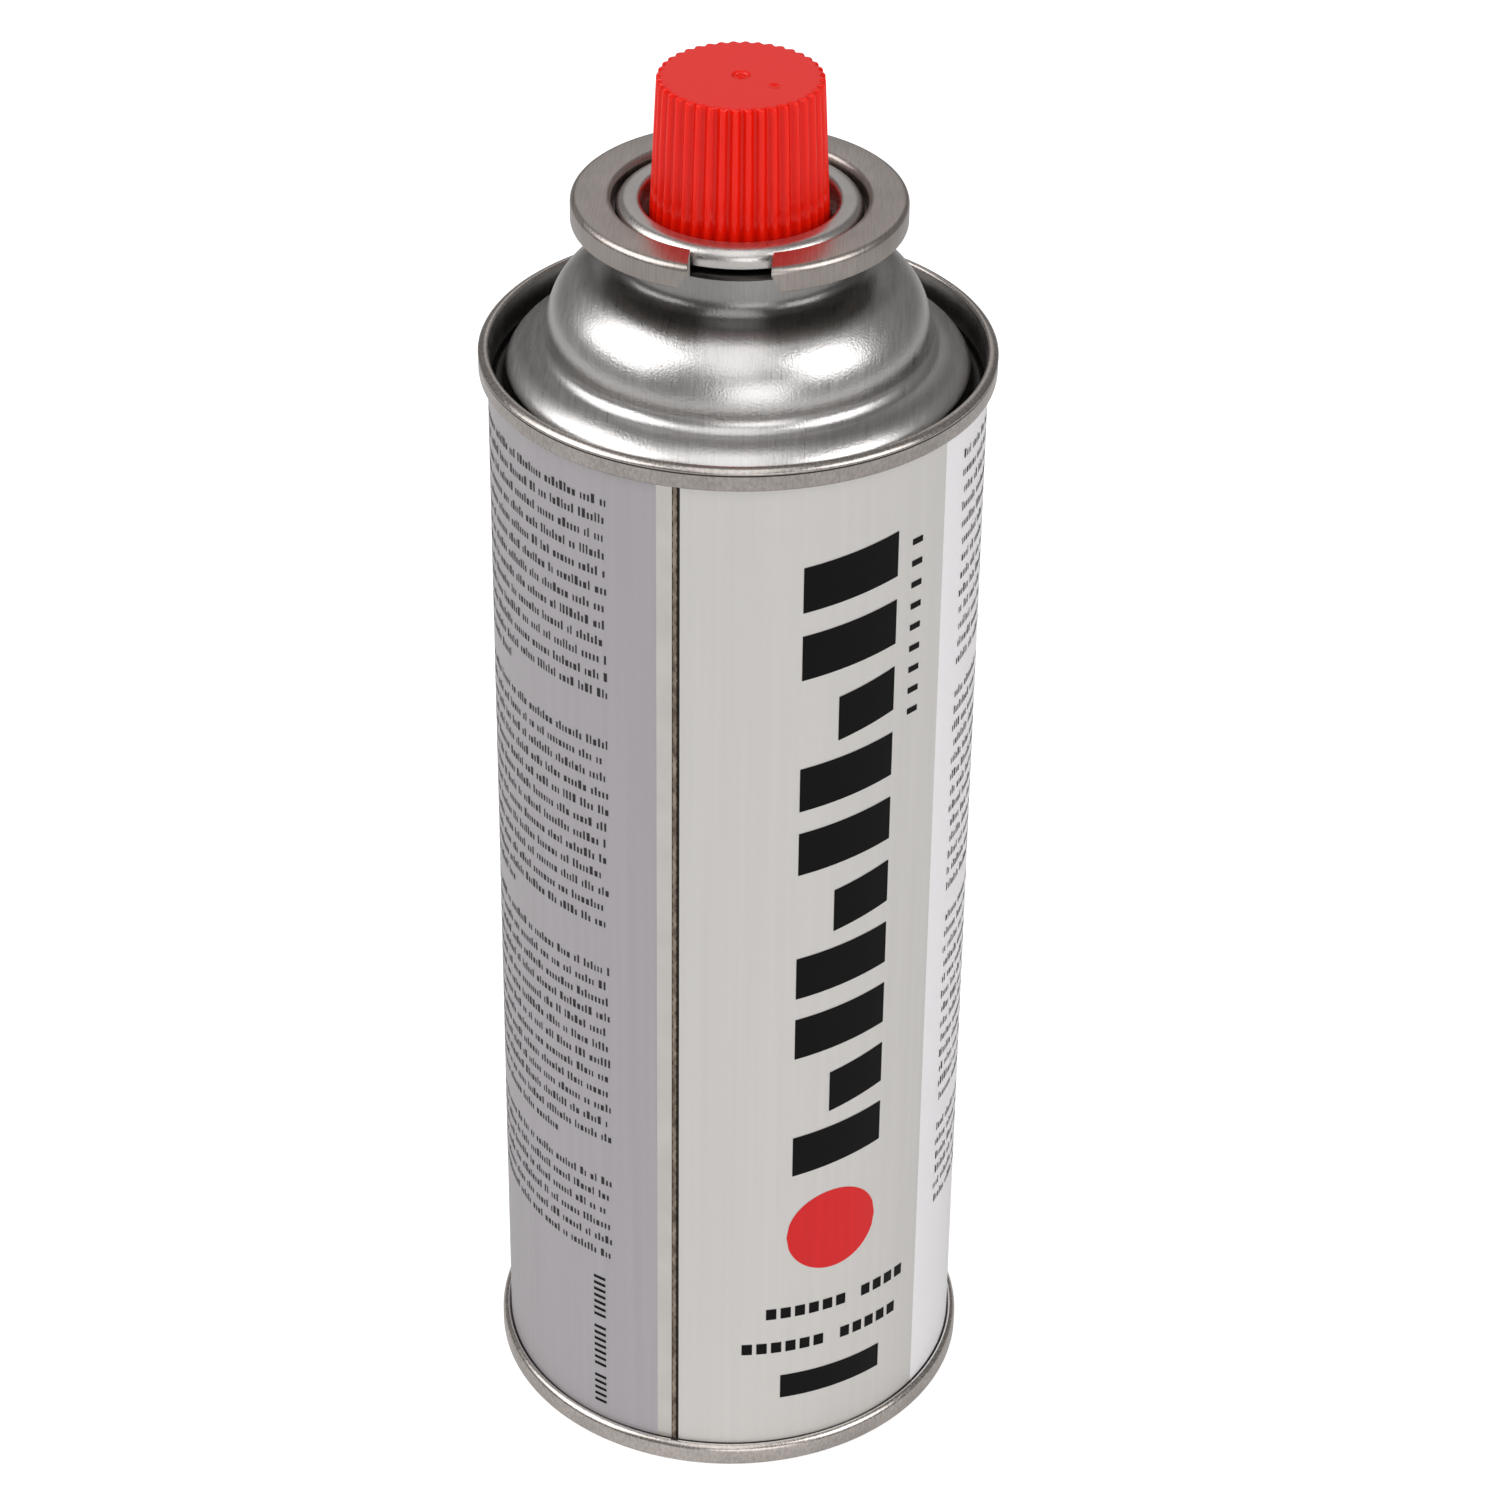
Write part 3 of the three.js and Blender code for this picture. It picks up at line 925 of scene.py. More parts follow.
    def build_weld(self, finishes: Finishes) -> bpy.types.Object:
        """Builds the side weld's overlap: a low scorched step up the whole wall.

        Args:
            finishes: The built materials.

        Returns:
            The weld's object.
        """
        low, high = self.wall_low + 0.05, self.wall_high - 0.05
        section = ((0.10, -0.02), (0.16, 0.6), (0.35, 1.0), (0.52, 1.0), (0.60, -0.02))
        shape = bmesh.new()
        first = []
        for across, lift in section:
            azimuth = self.weld_left + (self.weld_right - self.weld_left) * across
            first.append(shape.verts.new(around(self.wall_radius + self.weld_ridge * lift, azimuth, low)))
        edges = [shape.edges.new(pair) for pair in zip(first, first[1:])]
        rise = (high - low) / self.weld_rows
        for _ in range(self.weld_rows):
            grown = bmesh.ops.extrude_edge_only(shape, edges=edges)["geom"]
            verts = [item for item in grown if isinstance(item, bmesh.types.BMVert)]
            edges = [item for item in grown if isinstance(item, bmesh.types.BMEdge)]
            bmesh.ops.translate(shape, verts=verts, vec=(0, 0, rise * MM))
        for vert in shape.verts:
            height = vert.co.z / MM
            wander = 0.07 * math.sin(height * 4.1) + 0.05 * math.sin(height * 9.7 + 1.3)
            radius = math.hypot(vert.co.x, vert.co.y) / MM
            vert.co = around(radius, azimuth_of(vert.co) + wander, height)
        face_outward(shape)
        return finish_piece(shape, "weld_seam", [finishes.weld], Body.CANISTER)


@dataclass
class Collar:
    """The pressed ring round the valve, with the notch that lets an appliance on."""

    outer: float
    top: float
    inner: float = 16.4
    foot_inner: float = 15.5
    foot_top: float = 182.25
    sheet: float = 0.8
    roll: float = 0.9
    skirt: float = 3.3
    notch_width: float = 10.4
    notch_flare: float = 1.3
    flare_reach: float = 6.0
    facets: int = 300

    def profile(self) -> Profile:
        """The ring's closed section.

        Returns:
            Section as radius and height of each point, in millimetres.
        """
        under = self.top - self.sheet
        bend = self.roll - self.sheet + 0.25
        hem = 0.15
        return [
            *arc((self.outer - self.sheet + hem, self.top - self.skirt + hem), hem, 180, 270, 3),
            *arc((self.outer - hem, self.top - self.skirt + hem), hem, 270, 360, 3),
            *arc((self.outer - self.roll, self.top - self.roll), self.roll, 0, 90, 8),
            *arc((self.inner + self.roll, self.top - self.roll), self.roll, 90, 180, 8),
            (self.inner, self.foot_top),
            (self.foot_inner, self.foot_top),
            (self.foot_inner, self.foot_top - self.sheet),
            (self.inner + self.sheet, self.foot_top - self.sheet),
            *arc((self.inner + self.sheet + bend, under - bend), bend, 180, 90, 4),
            *arc((self.outer - self.sheet - bend, under - bend), bend, 90, 0, 4),
        ]

    def build(self, finishes: Finishes) -> bpy.types.Object:
        """Builds the ring and cuts its notch.

        Args:
            finishes: The built materials.

        Returns:
            The ring's object.
        """
        shape = turn(self.profile(), self.facets, closed=True)
        half = self.notch_width / 2
        for side in (-1, 1):
            front = [face for face in shape.faces if face.calc_center_median().y < 0]
            geometry = set(front)
            for face in front:
                geometry.update(face.verts)
                geometry.update(face.edges)
            bmesh.ops.bisect_plane(
                shape,
                geom=list(geometry),
                plane_co=(side * half * MM, 0, 0),
                plane_no=(1, 0, 0),
                dist=1e-5 * MM,
            )
        gap = [
            face
            for face in shape.faces
            if face.calc_center_median().y < 0 and abs(face.calc_center_median().x) < half * MM
        ]
        bmesh.ops.delete(shape, geom=gap, context="FACES")
        self.flare_skirt(shape)
        rims = [edge for edge in shape.edges if edge.is_boundary]
        bmesh.ops.holes_fill(shape, edges=rims, sides=0)
        bmesh.ops.recalc_face_normals(shape, faces=shape.faces)
        return finish_piece(
            shape, "collar", [finishes.plated], Body.CANISTER, ("collar_ring",), 32.0
        )

    def flare_skirt(self, shape: bmesh.types.BMesh) -> None:
        """Opens the notch towards the skirt's hem, easing the skirt back beside it.

        Args:
            shape: The ring, cut with parallel sides.
        """
        half = self.notch_width / 2
        for vert in shape.verts:
            across, height = vert.co.x / MM, vert.co.z / MM
            radius = math.hypot(vert.co.x, vert.co.y) / MM
            beside = abs(across) - half
            below = self.top - self.roll - height
            if vert.co.y > 0 or radius < self.outer - self.roll or below < 0 or beside > self.flare_reach:
                continue
            ease = 1 - max(beside, 0.0) / self.flare_reach
            shift = self.notch_flare * ease * min(1.0, below / (self.skirt - self.roll))
            across += math.copysign(shift, across)
            vert.co.x = across * MM
            vert.co.y = -math.sqrt(radius**2 - across**2) * MM


@dataclass
class ValveCup:
    """The stamped cup: bead over the mouth, well and pedestal."""

    outer: float
    top: float
    bead: float = 1.625
    sheet: float = 0.4
    skirt: float = 0.85
    inner_corner: float = 0.75
    well_depth: float = 6.2
    well_corner: float = 0.9
    pedestal: float = 5.2
    pedestal_drop: float = 2.0
    pedestal_corner: float = 0.5
    stem_hole: float = 2.3
    facets: int = 240

    def profile(self) -> Profile:
        """The cup's closed section.

        Returns:
            Section as radius and height of each point, in millimetres.
        """
        middle = self.outer - self.bead
        centre = (middle, self.top - self.bead)
        bore = middle - self.bead
        bend = (bore + self.inner_corner, self.top - self.inner_corner)
        floor = self.top - self.well_depth
        under = floor - self.sheet
        head = self.top - self.pedestal_drop
        corner = self.pedestal_corner
        lip = 0.12
        return [
            *arc((self.outer - lip, centre[1] - self.skirt + lip), lip, -90, 0, 3),
            *arc(centre, self.bead, 0, 90, 14),
            *arc(bend, self.inner_corner, 90, 180, 8),
            *arc((bore - self.well_corner, floor + self.well_corner), self.well_corner, 0, -90, 6),
            *arc((self.pedestal + corner, floor + corner), corner, 270, 180, 4),
            *arc((self.pedestal - corner, head - corner), corner, 0, 90, 5),
            (self.stem_hole, head),
            (self.stem_hole, head - self.sheet),
            (self.pedestal - self.sheet, head - self.sheet),
            (self.pedestal - self.sheet, under),
            (bore + self.sheet, under),
            *arc(bend, self.inner_corner - self.sheet, 180, 90, 5),
            *arc(centre, self.bead - self.sheet, 90, 0, 10),
            (self.outer - self.sheet, centre[1] - self.skirt),
        ]

    def build(self, finishes: Finishes) -> bpy.types.Object:
        """Builds the cup."""
        shape = turn(self.profile(), self.facets, closed=True)
        return finish_piece(
            shape, "valve_cup_dressed", [finishes.cup], Body.CANISTER, ("valve_cup",)
        )


@dataclass
class Cap:
    """The red cap: rounded ribs up its wall, a scalloped top edge and a sleeve inside."""

    foot: float
    top: float
    foot_radius: float
    top_radius: float = 10.65
    wall: float = 1.0
    roof: float = 1.2
    ribs: int = 40
    rib_depth: float = 0.6
    edge: float = 0.5
    sleeve_bore: float = 5.5
    sleeve_wall: float = 0.95
    gate_radius: float = 1.1
    gate_depth: float = 0.3
    steps_per_rib: int = 14
    rings: int = 24
    ring_step: float = 0.32
    dimple: tuple[float, float] = (4.3, -2.9)
    dimple_radius: float = 0.75
    dimple_depth: float = 0.22

    def profile(self) -> Profile:
        """The cap's section at a rib's tip, from the gate mark to the axis under the roof.

        Returns:
            Section as radius and height of each point, in millimetres.
        """
        roof = self.top - self.roof
        gate = self.gate_radius
        levels = 10
        wall = []
        for level in range(levels + 1):
            share = level / levels
            height = self.top - self.edge - share * (self.top - self.edge - self.foot)
            wall.append((self.top_radius + share * (self.foot_radius - self.top_radius), height))
        inner_top = self.top_radius - self.rib_depth - self.wall
        inner_foot = self.foot_radius - self.rib_depth - self.wall
        sleeve = self.sleeve_bore + self.sleeve_wall
        return [
            (0, self.top - self.gate_depth + 0.22),
            (0.3, self.top - self.gate_depth + 0.16),
            (0.5, self.top - self.gate_depth),
            (gate - 0.15, self.top - self.gate_depth),
            (gate, self.top - 0.1),
            (gate + 0.12, self.top),
            *[(gate + 0.3 + self.ring_step * ring, self.top) for ring in range(self.rings)],
            (self.top_radius - self.edge - 0.3, self.top),
            *arc((self.top_radius - self.edge, self.top - self.edge), self.edge, 90, 0, 6),
            *wall[1:],
            (inner_foot, self.foot),
            (inner_top, roof),
            (sleeve, roof),
            (sleeve, self.foot),
            (self.sleeve_bore, self.foot),
            (self.sleeve_bore, roof),
            (0, roof),
        ]

    def build(self, finishes: Finishes) -> bpy.types.Object:
        """Builds the cap and presses its ribs into the turned wall.

        Args:
            finishes: The built materials.

        Returns:
            The cap's object.
        """
        shape = turn(self.profile(), self.ribs * self.steps_per_rib)
        for vert in shape.verts:
            radius = math.hypot(vert.co.x, vert.co.y) / MM
            height = vert.co.z / MM
            share = (self.top - height) / (self.top - self.foot)
            tip = self.top_radius + share * (self.foot_radius - self.top_radius)
            depth_in = tip - radius
            apart = math.hypot(vert.co.x / MM - self.dimple[0], vert.co.y / MM - self.dimple[1])
            if apart < self.dimple_radius and height > self.top - 0.01:
                vert.co.z -= self.dimple_depth * (1 - (apart / self.dimple_radius) ** 2) * MM
            reach = self.wall * 0.5
            if depth_in > reach + self.edge:
                continue
            ease = 1.0 - max(0.0, depth_in - 0.1) / (reach + self.edge)
            phase = math.radians(azimuth_of(vert.co)) * self.ribs / 2
            dip = self.rib_depth * ease * abs(math.sin(phase)) ** 2.2
            vert.co = around(radius - dip, azimuth_of(vert.co), height)
        bmesh.ops.recalc_face_normals(shape, faces=shape.faces)
        return finish_piece(shape, "red_cap", [finishes.red_cap], Body.CAP, ("cap",), 50.0)


@dataclass
class Valve:
    """Stem, gasket, housing and spring, under the cap and in the cup's pedestal."""

    stem_top: float
    stem_foot: float
    stem_radius: float = 2.0
    stem_bore: float = 1.0
    stem_bore_depth: float = 10.2
    flange_radius: float = 3.3
    flange_top: float = 181.025
    flange_height: float = 1.2
    tail_radius: float = 1.3
    gasket_inner: float = 2.3
    housing_radius: float = 4.5
    stroke: float = 2.0
    housing_bore: float = 3.7
    housing_floor: float = 1.2
    nipple_radius: float = 1.7
    nipple_bore: float = 0.7
    nipple_length: float = 4.0
    wire: float = 0.35
    coil: float = 2.5
    turns: float = 4.5
    facets: int = 96

    def build_stem(self, finishes: Finishes) -> bpy.types.Object:
        """Builds the hollow stem with its flange and chamfered mouth.

        Args:
            finishes: The built materials.

        Returns:
            The stem's object.
        """
        edge = 0.2
        flange_foot = self.flange_top - self.flange_height
        profile = [
            (0, self.stem_foot),
            (self.tail_radius - edge, self.stem_foot),
            (self.tail_radius, self.stem_foot + edge),
            (self.tail_radius, flange_foot),
            (self.flange_radius - edge, flange_foot),
            (self.flange_radius, flange_foot + edge),
            (self.flange_radius, self.flange_top - edge),
            (self.flange_radius - edge, self.flange_top),
            (self.stem_radius, self.flange_top),
            (self.stem_radius, self.stem_top - 2 * edge),
            *arc((self.stem_radius - 2 * edge, self.stem_top - 2 * edge), 2 * edge, 0, 90, 5),
            *arc((self.stem_bore + edge, self.stem_top - edge), edge, 90, 180, 4),
            (self.stem_bore, self.stem_top - self.stem_bore_depth),
            (0, self.stem_top - self.stem_bore_depth),
        ]
        shape = turn(profile, self.facets)
        return finish_piece(shape, "stem", [finishes.acetal], Body.STEM, ("valve_stem",))

    def build_gasket(self, finishes: Finishes) -> bpy.types.Object:
        """Builds the rubber washer, with its edges rounded.

        Args:
            finishes: The built materials.

        Returns:
            The washer's object.
        """
        low, high = (corner.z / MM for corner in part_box("stem_gasket"))
        bend = 0.2
        corners = (
            ((self.gasket_inner + bend, low + bend), 180),
            ((self.housing_radius - bend, low + bend), 270),
            ((self.housing_radius - bend, high - bend), 0),
            ((self.gasket_inner + bend, high - bend), 90),
        )
        profile = [point for centre, start in corners for point in arc(centre, bend, start, start + 90, 3)]
        shape = turn(profile, self.facets, closed=True)
        return finish_piece(shape, "gasket", [finishes.rubber], Body.CANISTER, ("stem_gasket",))

    def build_housing(self, finishes: Finishes) -> bpy.types.Object:
        """Builds the spring's housing with its nipple.

        Args:
            finishes: The built materials.

        Returns:
            The housing's object.
        """
        low, high = (corner.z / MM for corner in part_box("valve_housing"))
        shelf = low + self.nipple_length
        edge = 0.2
        profile = [
            (self.nipple_bore, low),
            (self.nipple_radius - edge, low),
            (self.nipple_radius, low + edge),
            (self.nipple_radius, shelf),
            (self.housing_radius - edge, shelf),
            (self.housing_radius, shelf + edge),
            (self.housing_radius, high),
            (self.housing_bore + edge, high),
            (self.housing_bore, high - edge),
            (self.housing_bore, shelf + self.housing_floor),
            (self.nipple_bore, shelf + self.housing_floor),
        ]
        shape = turn(profile, self.facets, closed=True)
        return finish_piece(shape, "housing", [finishes.acetal], Body.CANISTER, ("valve_housing",))

    def build_spring(self, finishes: Finishes) -> bpy.types.Object:
        """Builds the return spring as one round wire, spun up its helix.

        Args:
            finishes: The built materials.

        Returns:
            The spring's object.
        """
        low, high = (corner.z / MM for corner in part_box("valve_spring"))
        shape = bmesh.new()
        start = Matrix.Translation(Vector((self.coil, 0, low + self.wire)) * MM)
        upright = Matrix.Rotation(math.pi / 2, 4, "X")
        ring = bmesh.ops.create_circle(
            shape, cap_ends=False, segments=12, radius=self.wire * MM, matrix=start @ upright
        )
        edges = list({edge for vert in ring["verts"] for edge in vert.link_edges})
        steps = int(self.turns * 48)
        rise = (high - low - 2 * self.wire) / steps
        bmesh.ops.spin(
            shape,
            geom=ring["verts"] + edges,
            cent=(0, 0, 0),
            axis=(0, 0, 1),
            dvec=(0, 0, rise * MM),
            angle=math.tau * self.turns,
            steps=steps,
        )
        bmesh.ops.holes_fill(shape, edges=[edge for edge in shape.edges if edge.is_boundary], sides=0)
        bmesh.ops.recalc_face_normals(shape, faces=shape.faces)
        piece = finish_piece(
            shape, "return_spring", [finishes.spring], Body.CANISTER, ("valve_spring",)
        )
        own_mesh(piece)
        return piece


@dataclass
class Print:
    """Generic print on the wall: thin fields of ink bent round the can."""

    wall_radius: float
    ink: float = 0.03
    facet: float = 1.0
    block_low: float = 50.5
    block_high: float = 151.5
    block_count: int = 10
    block_left: float = 18.5
    block_right: float = 42.5
    disc_azimuth: float = 29.5
    disc_height: float = 40.4
    disc_radius: float = 6.9
    rules: tuple[tuple[float, float, float], ...] = ((26.8, 12.0, 54.0), (20.6, 6.0, 52.0))
    rule_pitch: float = 2.1
    rule_dash: tuple[float, float] = (1.5, 1.9)
    bar: tuple[float, float, float, float] = (30.5, 13.2, 16.0, 4.2)
    dash_seed: int = 7
    fine_low: float = 34.0
    fine_high: float = 158.5
    fine_pitch: float = 2.6
    fine_paragraph: int = 14

    def wrap(self, shape: bmesh.types.BMesh, azimuth: float, height: float) -> None:
        """Bends a flat shape in X and Z round the wall.

        Args:
            shape: Flat mesh in millimetres, with X along the wall and Z up it.
            azimuth: Where its middle lies.
            height: How high its middle lies.
        """
        radius = self.wall_radius + self.ink
        for vert in shape.verts:
            turned = azimuth + math.degrees(vert.co.x / self.wall_radius)
            vert.co = around(radius, turned, height + vert.co.z)

    def patch(
        self, target: bmesh.types.BMesh, azimuth: float, height: float,
        width: float, tall: float, slant: float = 0.0
    ) -> None:
        """Adds one bent rectangle or leaning block to a mesh.

        Args:
            target: The mesh that it joins.
            azimuth: Where its middle lies.
            height: How high its middle lies.
            width: Its width along the wall.
            tall: Its height.
            slant: How far its right side is raised above its left.
        """
        shape = bmesh.new()
        across = max(1, int(math.degrees(width / self.wall_radius) / self.facet))
        size = Matrix.Diagonal((width, 1.0, tall, 1.0)) @ Matrix.Rotation(math.pi / 2, 4, "X")
        bmesh.ops.create_grid(shape, x_segments=across, y_segments=1, size=0.5, matrix=size)
        for vert in shape.verts:
            vert.co.z += slant * vert.co.x / width
        self.wrap(shape, azimuth, height)
        self.merge(shape, target)

    @staticmethod
    def merge(shape: bmesh.types.BMesh, target: bmesh.types.BMesh) -> None:
        """Adds one mesh to another and frees it.

        Args:
            shape: The mesh that is added.
            target: The mesh that it joins.
        """
        carrier = bpy.data.meshes.new("carrier")
        shape.to_mesh(carrier)
        shape.free()
        target.from_mesh(carrier)
        bpy.data.meshes.remove(carrier)

    def finish(self, shape: bmesh.types.BMesh, name: str, ink: bpy.types.Material) -> bpy.types.Object:
        """Turns a field of ink outwards and makes its piece."""
        face_outward(shape)
        return finish_piece(shape, name, [ink], Body.CANISTER)

    def build_blocks(self, finishes: Finishes) -> bpy.types.Object:
        """Builds the tall column of leaning black blocks, in two widths by turns.

        Args:
            finishes: The built materials.

        Returns:
            The blocks' object.
        """
        shape = bmesh.new()
        pitch = (self.block_high - self.block_low) / self.block_count
        middle = (self.block_left + self.block_right) / 2
        width = math.radians(self.block_right - self.block_left) * self.wall_radius
        for index in range(self.block_count):
            narrow = index % 3 == 1
            share = 0.62 if narrow else 1.0
            offset = math.degrees(width * (1 - share) / 2 / self.wall_radius)
            height = self.block_low + (index + 0.5) * pitch
            self.patch(shape, middle + offset, height, width * share, pitch * 0.66, 2.0)
        return self.finish(shape, "print_blocks", finishes.black_ink)

    def build_disc(self, finishes: Finishes) -> bpy.types.Object:
        """Builds the plain red disc under the blocks.

        Args:
            finishes: The built materials.

        Returns:
            The disc's object.
        """
        shape = bmesh.new()
        bmesh.ops.create_grid(shape, x_segments=40, y_segments=1, size=self.disc_radius)
        for vert in shape.verts:
            across = min(self.disc_radius, abs(vert.co.x))
            half = math.sqrt(max(0.0, self.disc_radius**2 - across**2))
            vert.co = Vector((vert.co.x, 0.0, math.copysign(half, vert.co.y)))
        bmesh.ops.remove_doubles(shape, verts=shape.verts, dist=1e-4)
        self.wrap(shape, self.disc_azimuth, self.disc_height)
        return self.finish(shape, "print_disc", finishes.red_ink)

    def build_rules(self, finishes: Finishes) -> bpy.types.Object:
        """Builds two dashed rules and a short heavy bar under the disc.

        Args:
            finishes: The built materials.

        Returns:
            The rules' object.
        """
        shape = bmesh.new()
        pitch = math.degrees(self.rule_pitch / self.wall_radius)
        for height, left, right in self.rules:
            marks = int((right - left) / pitch)
            for mark in range(marks):
                if mark % 8 != 6:
                    self.patch(shape, left + (mark + 0.5) * pitch, height, *self.rule_dash)
        self.patch(shape, *self.bar)
        return self.finish(shape, "print_rules", finishes.black_ink)

    def build_side_dashes(self, finishes: Finishes) -> bpy.types.Object:
        """Builds the two upright rows of small dashes beside the blocks and near the foot.

        Args:
            finishes: The built materials.

        Returns:
            The dashes' object.
        """
        shape = bmesh.new()
        for index in range(9):
            self.patch(shape, 48.5, 122.5 + index * 3.2, 1.9, 0.9)
        for index in range(21):
            if index % 8 != 5:
                self.patch(shape, -31.0, 6.0 + index * 1.15, 2.0, 0.5)
        return self.finish(shape, "print_side_dashes", finishes.black_ink)

    def build_fine_print(self, finishes: Finishes, name: str, left: float, right: float) -> bpy.types.Object:
        """Builds a side panel's small print as rows of tiny marks in paragraphs.

        Args:
            finishes: The built materials.
            name: Name of the piece.
            left: Azimuth of its left margin.
            right: Azimuth of its right margin.

        Returns:
            The fine print's object.
        """
        shape = bmesh.new()
        start = math.radians(left) * self.wall_radius
        margin = math.radians(right) * self.wall_radius
        chance = random.Random(self.dash_seed)
        height = self.fine_high
        row = 0
        while height > self.fine_low:
            row += 1
            height -= self.fine_pitch
            if row % self.fine_paragraph == 0:
                continue
            cursor = start + chance.uniform(0.0, 0.8)
            closing = row % self.fine_paragraph == self.fine_paragraph - 1
            end = margin - (chance.uniform(8.0, 22.0) if closing else 0.0)
            while cursor < end:
                for _ in range(chance.randint(2, 9)):
                    width = chance.choice((0.22, 0.3, 0.3, 0.5))
                    if cursor + width > end:
                        break
                    tall = chance.choice((0.9, 0.9, 1.3))
                    turned = math.degrees((cursor + width / 2) / self.wall_radius)
                    self.patch(shape, turned, height + (tall - 0.9) / 2, width, tall)
                    cursor += width + 0.3
                cursor += 0.55
        return self.finish(shape, name, finishes.grey_ink)


@dataclass
class Studio:
    """Camera, floor, world and lamps."""

    distance: float = 497.7
    height: float = 427.24
    pitch: float = 0.58041
    yaw: float = 0.00432
    roll: float = 0.01215
    notch_turn: float = 3.3
    lens: float = 103.8
    floor_size: float = 6.0
    paper: Colour = (0.82, 0.82, 0.82)
    paper_glow: float = 0.62
    room: Colour = (0.20, 0.196, 0.194)

    def build_camera(self) -> None:
        """Stands the camera where the photograph was taken from."""
        pitch, yaw, roll = self.pitch, self.yaw, self.roll
        forward = Vector((math.sin(yaw) * math.cos(pitch), math.cos(yaw) * math.cos(pitch), -math.sin(pitch)))
        right = Vector((math.cos(yaw), -math.sin(yaw), 0.0))
        up = right.cross(forward)
        tilted_right = right * math.cos(roll) + up * math.sin(roll)
        tilted_up = up * math.cos(roll) - right * math.sin(roll)
        place = Matrix((tilted_right, tilted_up, -forward)).transposed().to_4x4()
        place.translation = Vector((0.0, -self.distance, self.height)) * MM
        camera = bpy.data.cameras.new("camera")
        camera.lens = self.lens
        camera.sensor_width = 36.0
        camera.clip_start = 0.01
        stand = bpy.data.objects.new("camera", camera)
        stand.matrix_world = Matrix.Rotation(math.radians(self.notch_turn), 4, "Z") @ place
        bpy.context.scene.collection.objects.link(stand)
        bpy.context.scene.camera = stand

    def build_floor(self) -> None:
        """Lays a pale floor that is white to the camera and keeps a soft shadow."""
        shape = bmesh.new()
        bmesh.ops.create_grid(shape, x_segments=1, y_segments=1, size=self.floor_size / 2)
        mesh = bpy.data.meshes.new("floor")
        shape.to_mesh(mesh)
        shape.free()
        floor = bpy.data.objects.new("floor", mesh)
        bpy.context.scene.collection.objects.link(floor)
        nodes = Nodes("floor_paper")
        nodes.preset({"Base Color": (*self.paper, 1), "Roughness": 0.9, "Specular IOR Level": 0.1})
        paths = nodes.add("ShaderNodeLightPath")
        glow = nodes.add("ShaderNodeMath", operation="MULTIPLY")
        glow.inputs[1].default_value = self.paper_glow
        nodes.join(paths.outputs["Is Camera Ray"], glow.inputs[0])
        nodes.preset({"Emission Color": (1, 1, 1, 1)})
        nodes.drive("Emission Strength", glow.outputs[0])
        mesh.materials.append(nodes.material)

    def build_world(self) -> None:
        """Sets a white background over a soft grey room."""
        world = bpy.data.worlds.new("studio")
        bpy.context.scene.world = world
        world.use_nodes = True
        tree = world.node_tree
        room = tree.nodes["Background"]
        room.inputs["Color"].default_value = (*self.room, 1)
        room.inputs["Strength"].default_value = 1.0
        white = tree.nodes.new("ShaderNodeBackground")
        white.inputs["Strength"].default_value = 1.0
        white.inputs["Color"].default_value = (1, 1, 1, 1)
        paths = tree.nodes.new("ShaderNodeLightPath")
        mix = tree.nodes.new("ShaderNodeMixShader")
        tree.links.new(paths.outputs["Is Camera Ray"], mix.inputs["Fac"])
        tree.links.new(room.outputs["Background"], mix.inputs[1])
        tree.links.new(white.outputs["Background"], mix.inputs[2])
        tree.links.new(mix.outputs["Shader"], tree.nodes["World Output"].inputs["Surface"])

    def add_lamp(
        self, name: str, azimuth: float, elevation: float, reach: float, size: tuple[float, float], watts: float
    ) -> None:
        """Hangs one soft box aimed at the canister's shoulder.

        Args:
            name: Name of the lamp.
            azimuth: Where it hangs, in degrees from the notch towards +X.
            elevation: Its height above the horizon in degrees.
            reach: Its distance in metres.
            size: Its width and height in metres.
            watts: Its power.
        """
        lamp = bpy.data.lights.new(name, "AREA")
        lamp.shape = "RECTANGLE"
        lamp.size, lamp.size_y = size
        lamp.energy = watts
        stand = bpy.data.objects.new(name, lamp)
        target = Vector((0, 0, 0.12))
        flat = math.cos(math.radians(elevation))
        offset = around(reach * flat / MM, azimuth, reach * math.sin(math.radians(elevation)) / MM)
        stand.location = target + offset
        stand.rotation_euler = (-offset).to_track_quat("-Z", "Y").to_euler()
        stand.visible_camera = False
        bpy.context.scene.collection.objects.link(stand)

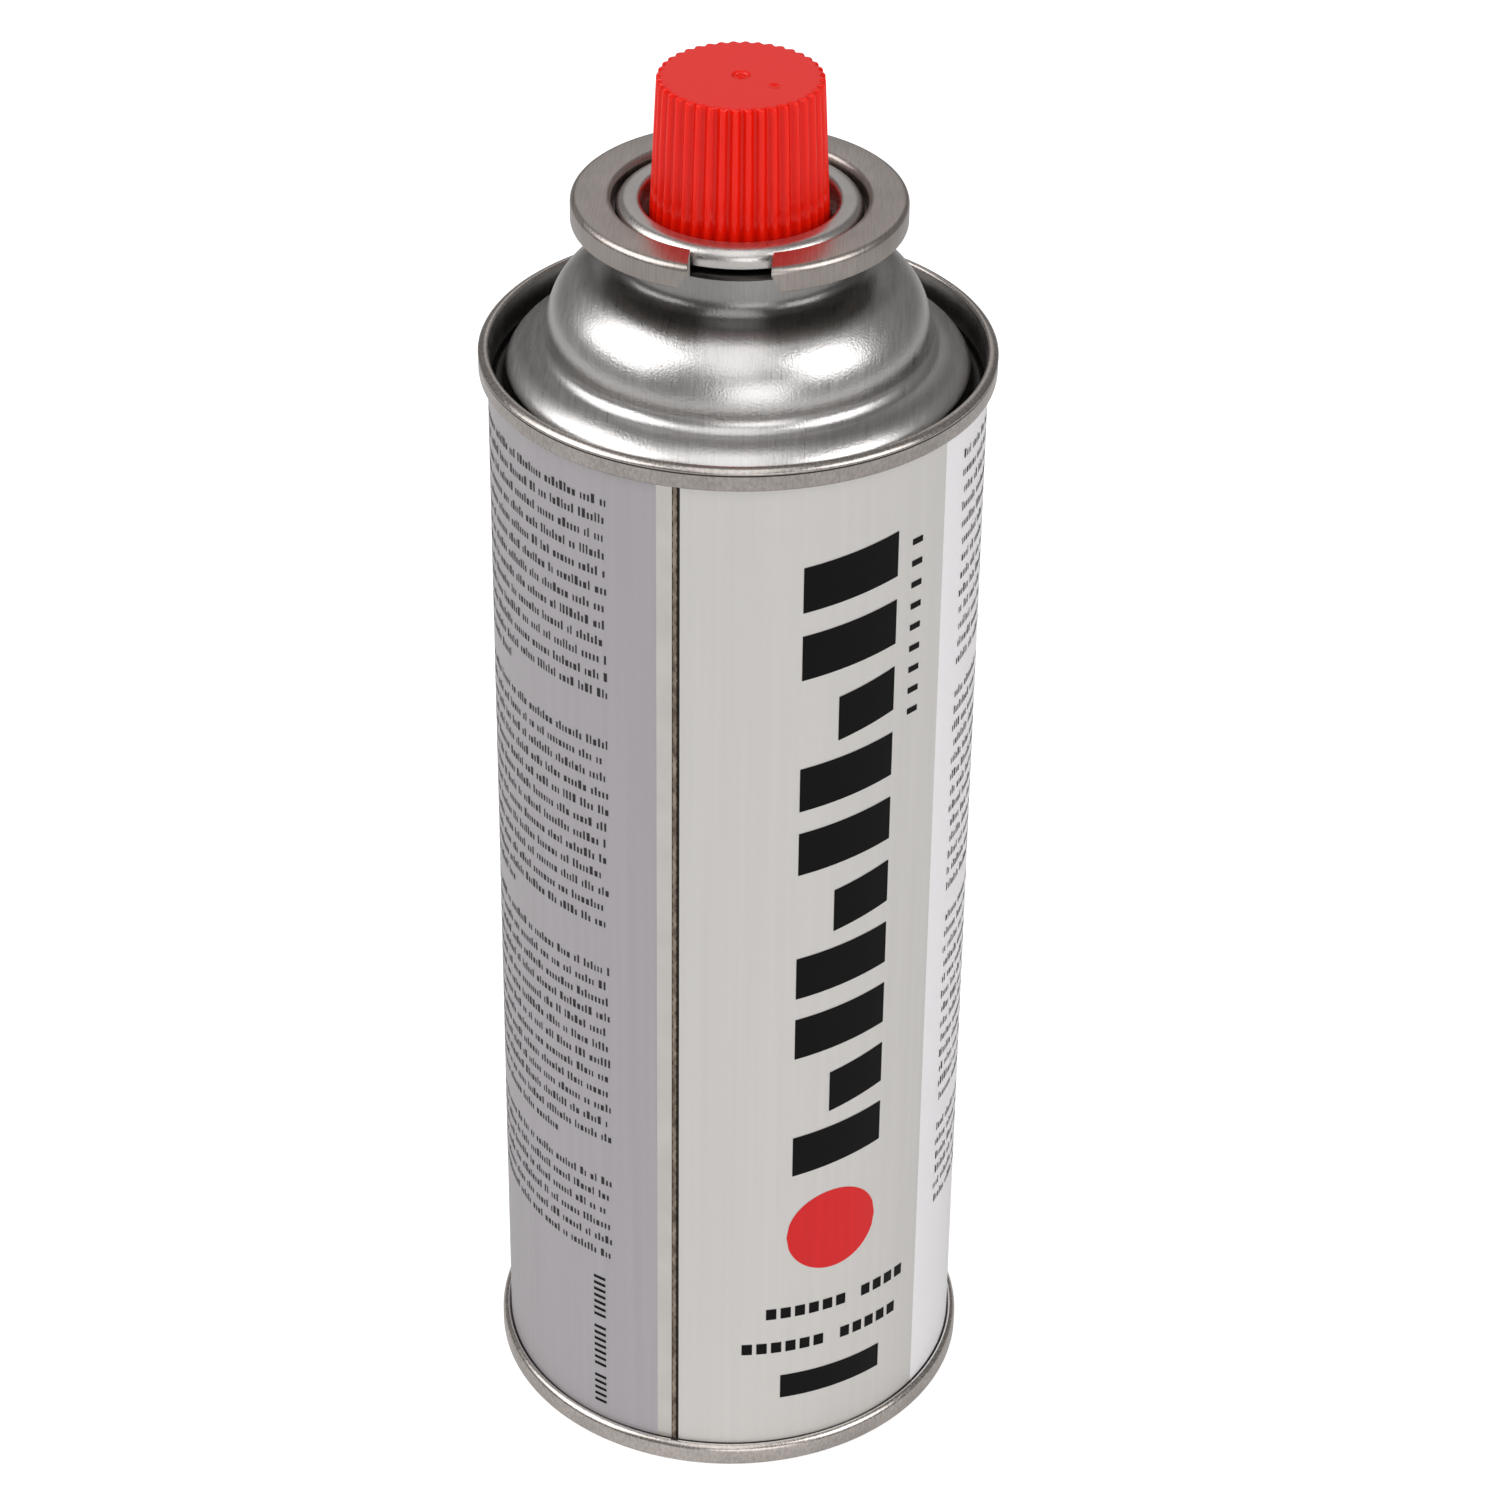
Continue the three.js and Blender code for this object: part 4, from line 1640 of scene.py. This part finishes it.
    def build_lamps(self) -> None:
        """Hangs the soft boxes: left, right, high, in front and behind."""
        self.add_lamp("left_box", -78.0, 42.0, 1.1, (1.05, 0.9), 7.4)
        self.add_lamp("right_box", 66.0, 38.0, 1.1, (0.7, 0.8), 4.8)
        self.add_lamp("high_box", 0.0, 64.0, 1.2, (0.6, 1.3), 3.1)
        self.add_lamp("front_box", 14.0, 10.0, 1.8, (1.2, 1.0), 6.4)
        self.add_lamp("back_box", 180.0, 38.0, 1.6, (1.3, 1.0), 1.5)

    def build(self) -> None:
        """Sets up the whole studio and the colour view."""
        self.build_camera()
        self.build_floor()
        self.build_world()
        self.build_lamps()
        bpy.context.scene.view_settings.view_transform = "Standard"


def millimetres(corner: Vector) -> tuple[float, float, float]:
    """A corner of a node's box in millimetres."""
    return tuple(value / MM for value in corner)


def main() -> None:
    """Builds the canister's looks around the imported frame."""
    logging.basicConfig(level=logging.INFO, format="%(name)s %(message)s")
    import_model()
    Studio().build()
    finishes = Finishes()

    can_high = millimetres(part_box("can")[1])
    can = Can(seam_radius=can_high[0])
    can.build(finishes)
    can.build_weld(finishes)

    ring_high = millimetres(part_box("collar_ring")[1])
    Collar(outer=ring_high[0], top=ring_high[2]).build(finishes)

    cup_high = millimetres(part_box("valve_cup")[1])
    ValveCup(outer=cup_high[0], top=cup_high[2]).build(finishes)

    cap_low, cap_high = (millimetres(corner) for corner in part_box("cap"))
    Cap(foot=cap_low[2], top=cap_high[2], foot_radius=cap_high[0]).build(finishes)

    stem_low, stem_high = (millimetres(corner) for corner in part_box("valve_stem"))
    valve = Valve(stem_top=stem_high[2], stem_foot=stem_low[2])
    valve.build_stem(finishes)
    valve.build_gasket(finishes)
    valve.build_housing(finishes)
    valve.build_spring(finishes)

    artwork = Print(wall_radius=can.wall_radius)
    artwork.build_blocks(finishes)
    artwork.build_disc(finishes)
    artwork.build_rules(finishes)
    artwork.build_side_dashes(finishes)
    artwork.build_fine_print(finishes, "fine_print_left", -112.0, -27.0)
    artwork.build_fine_print(finishes, "fine_print_right", 66.0, 150.0)


if __name__ == "__main__":
    main()
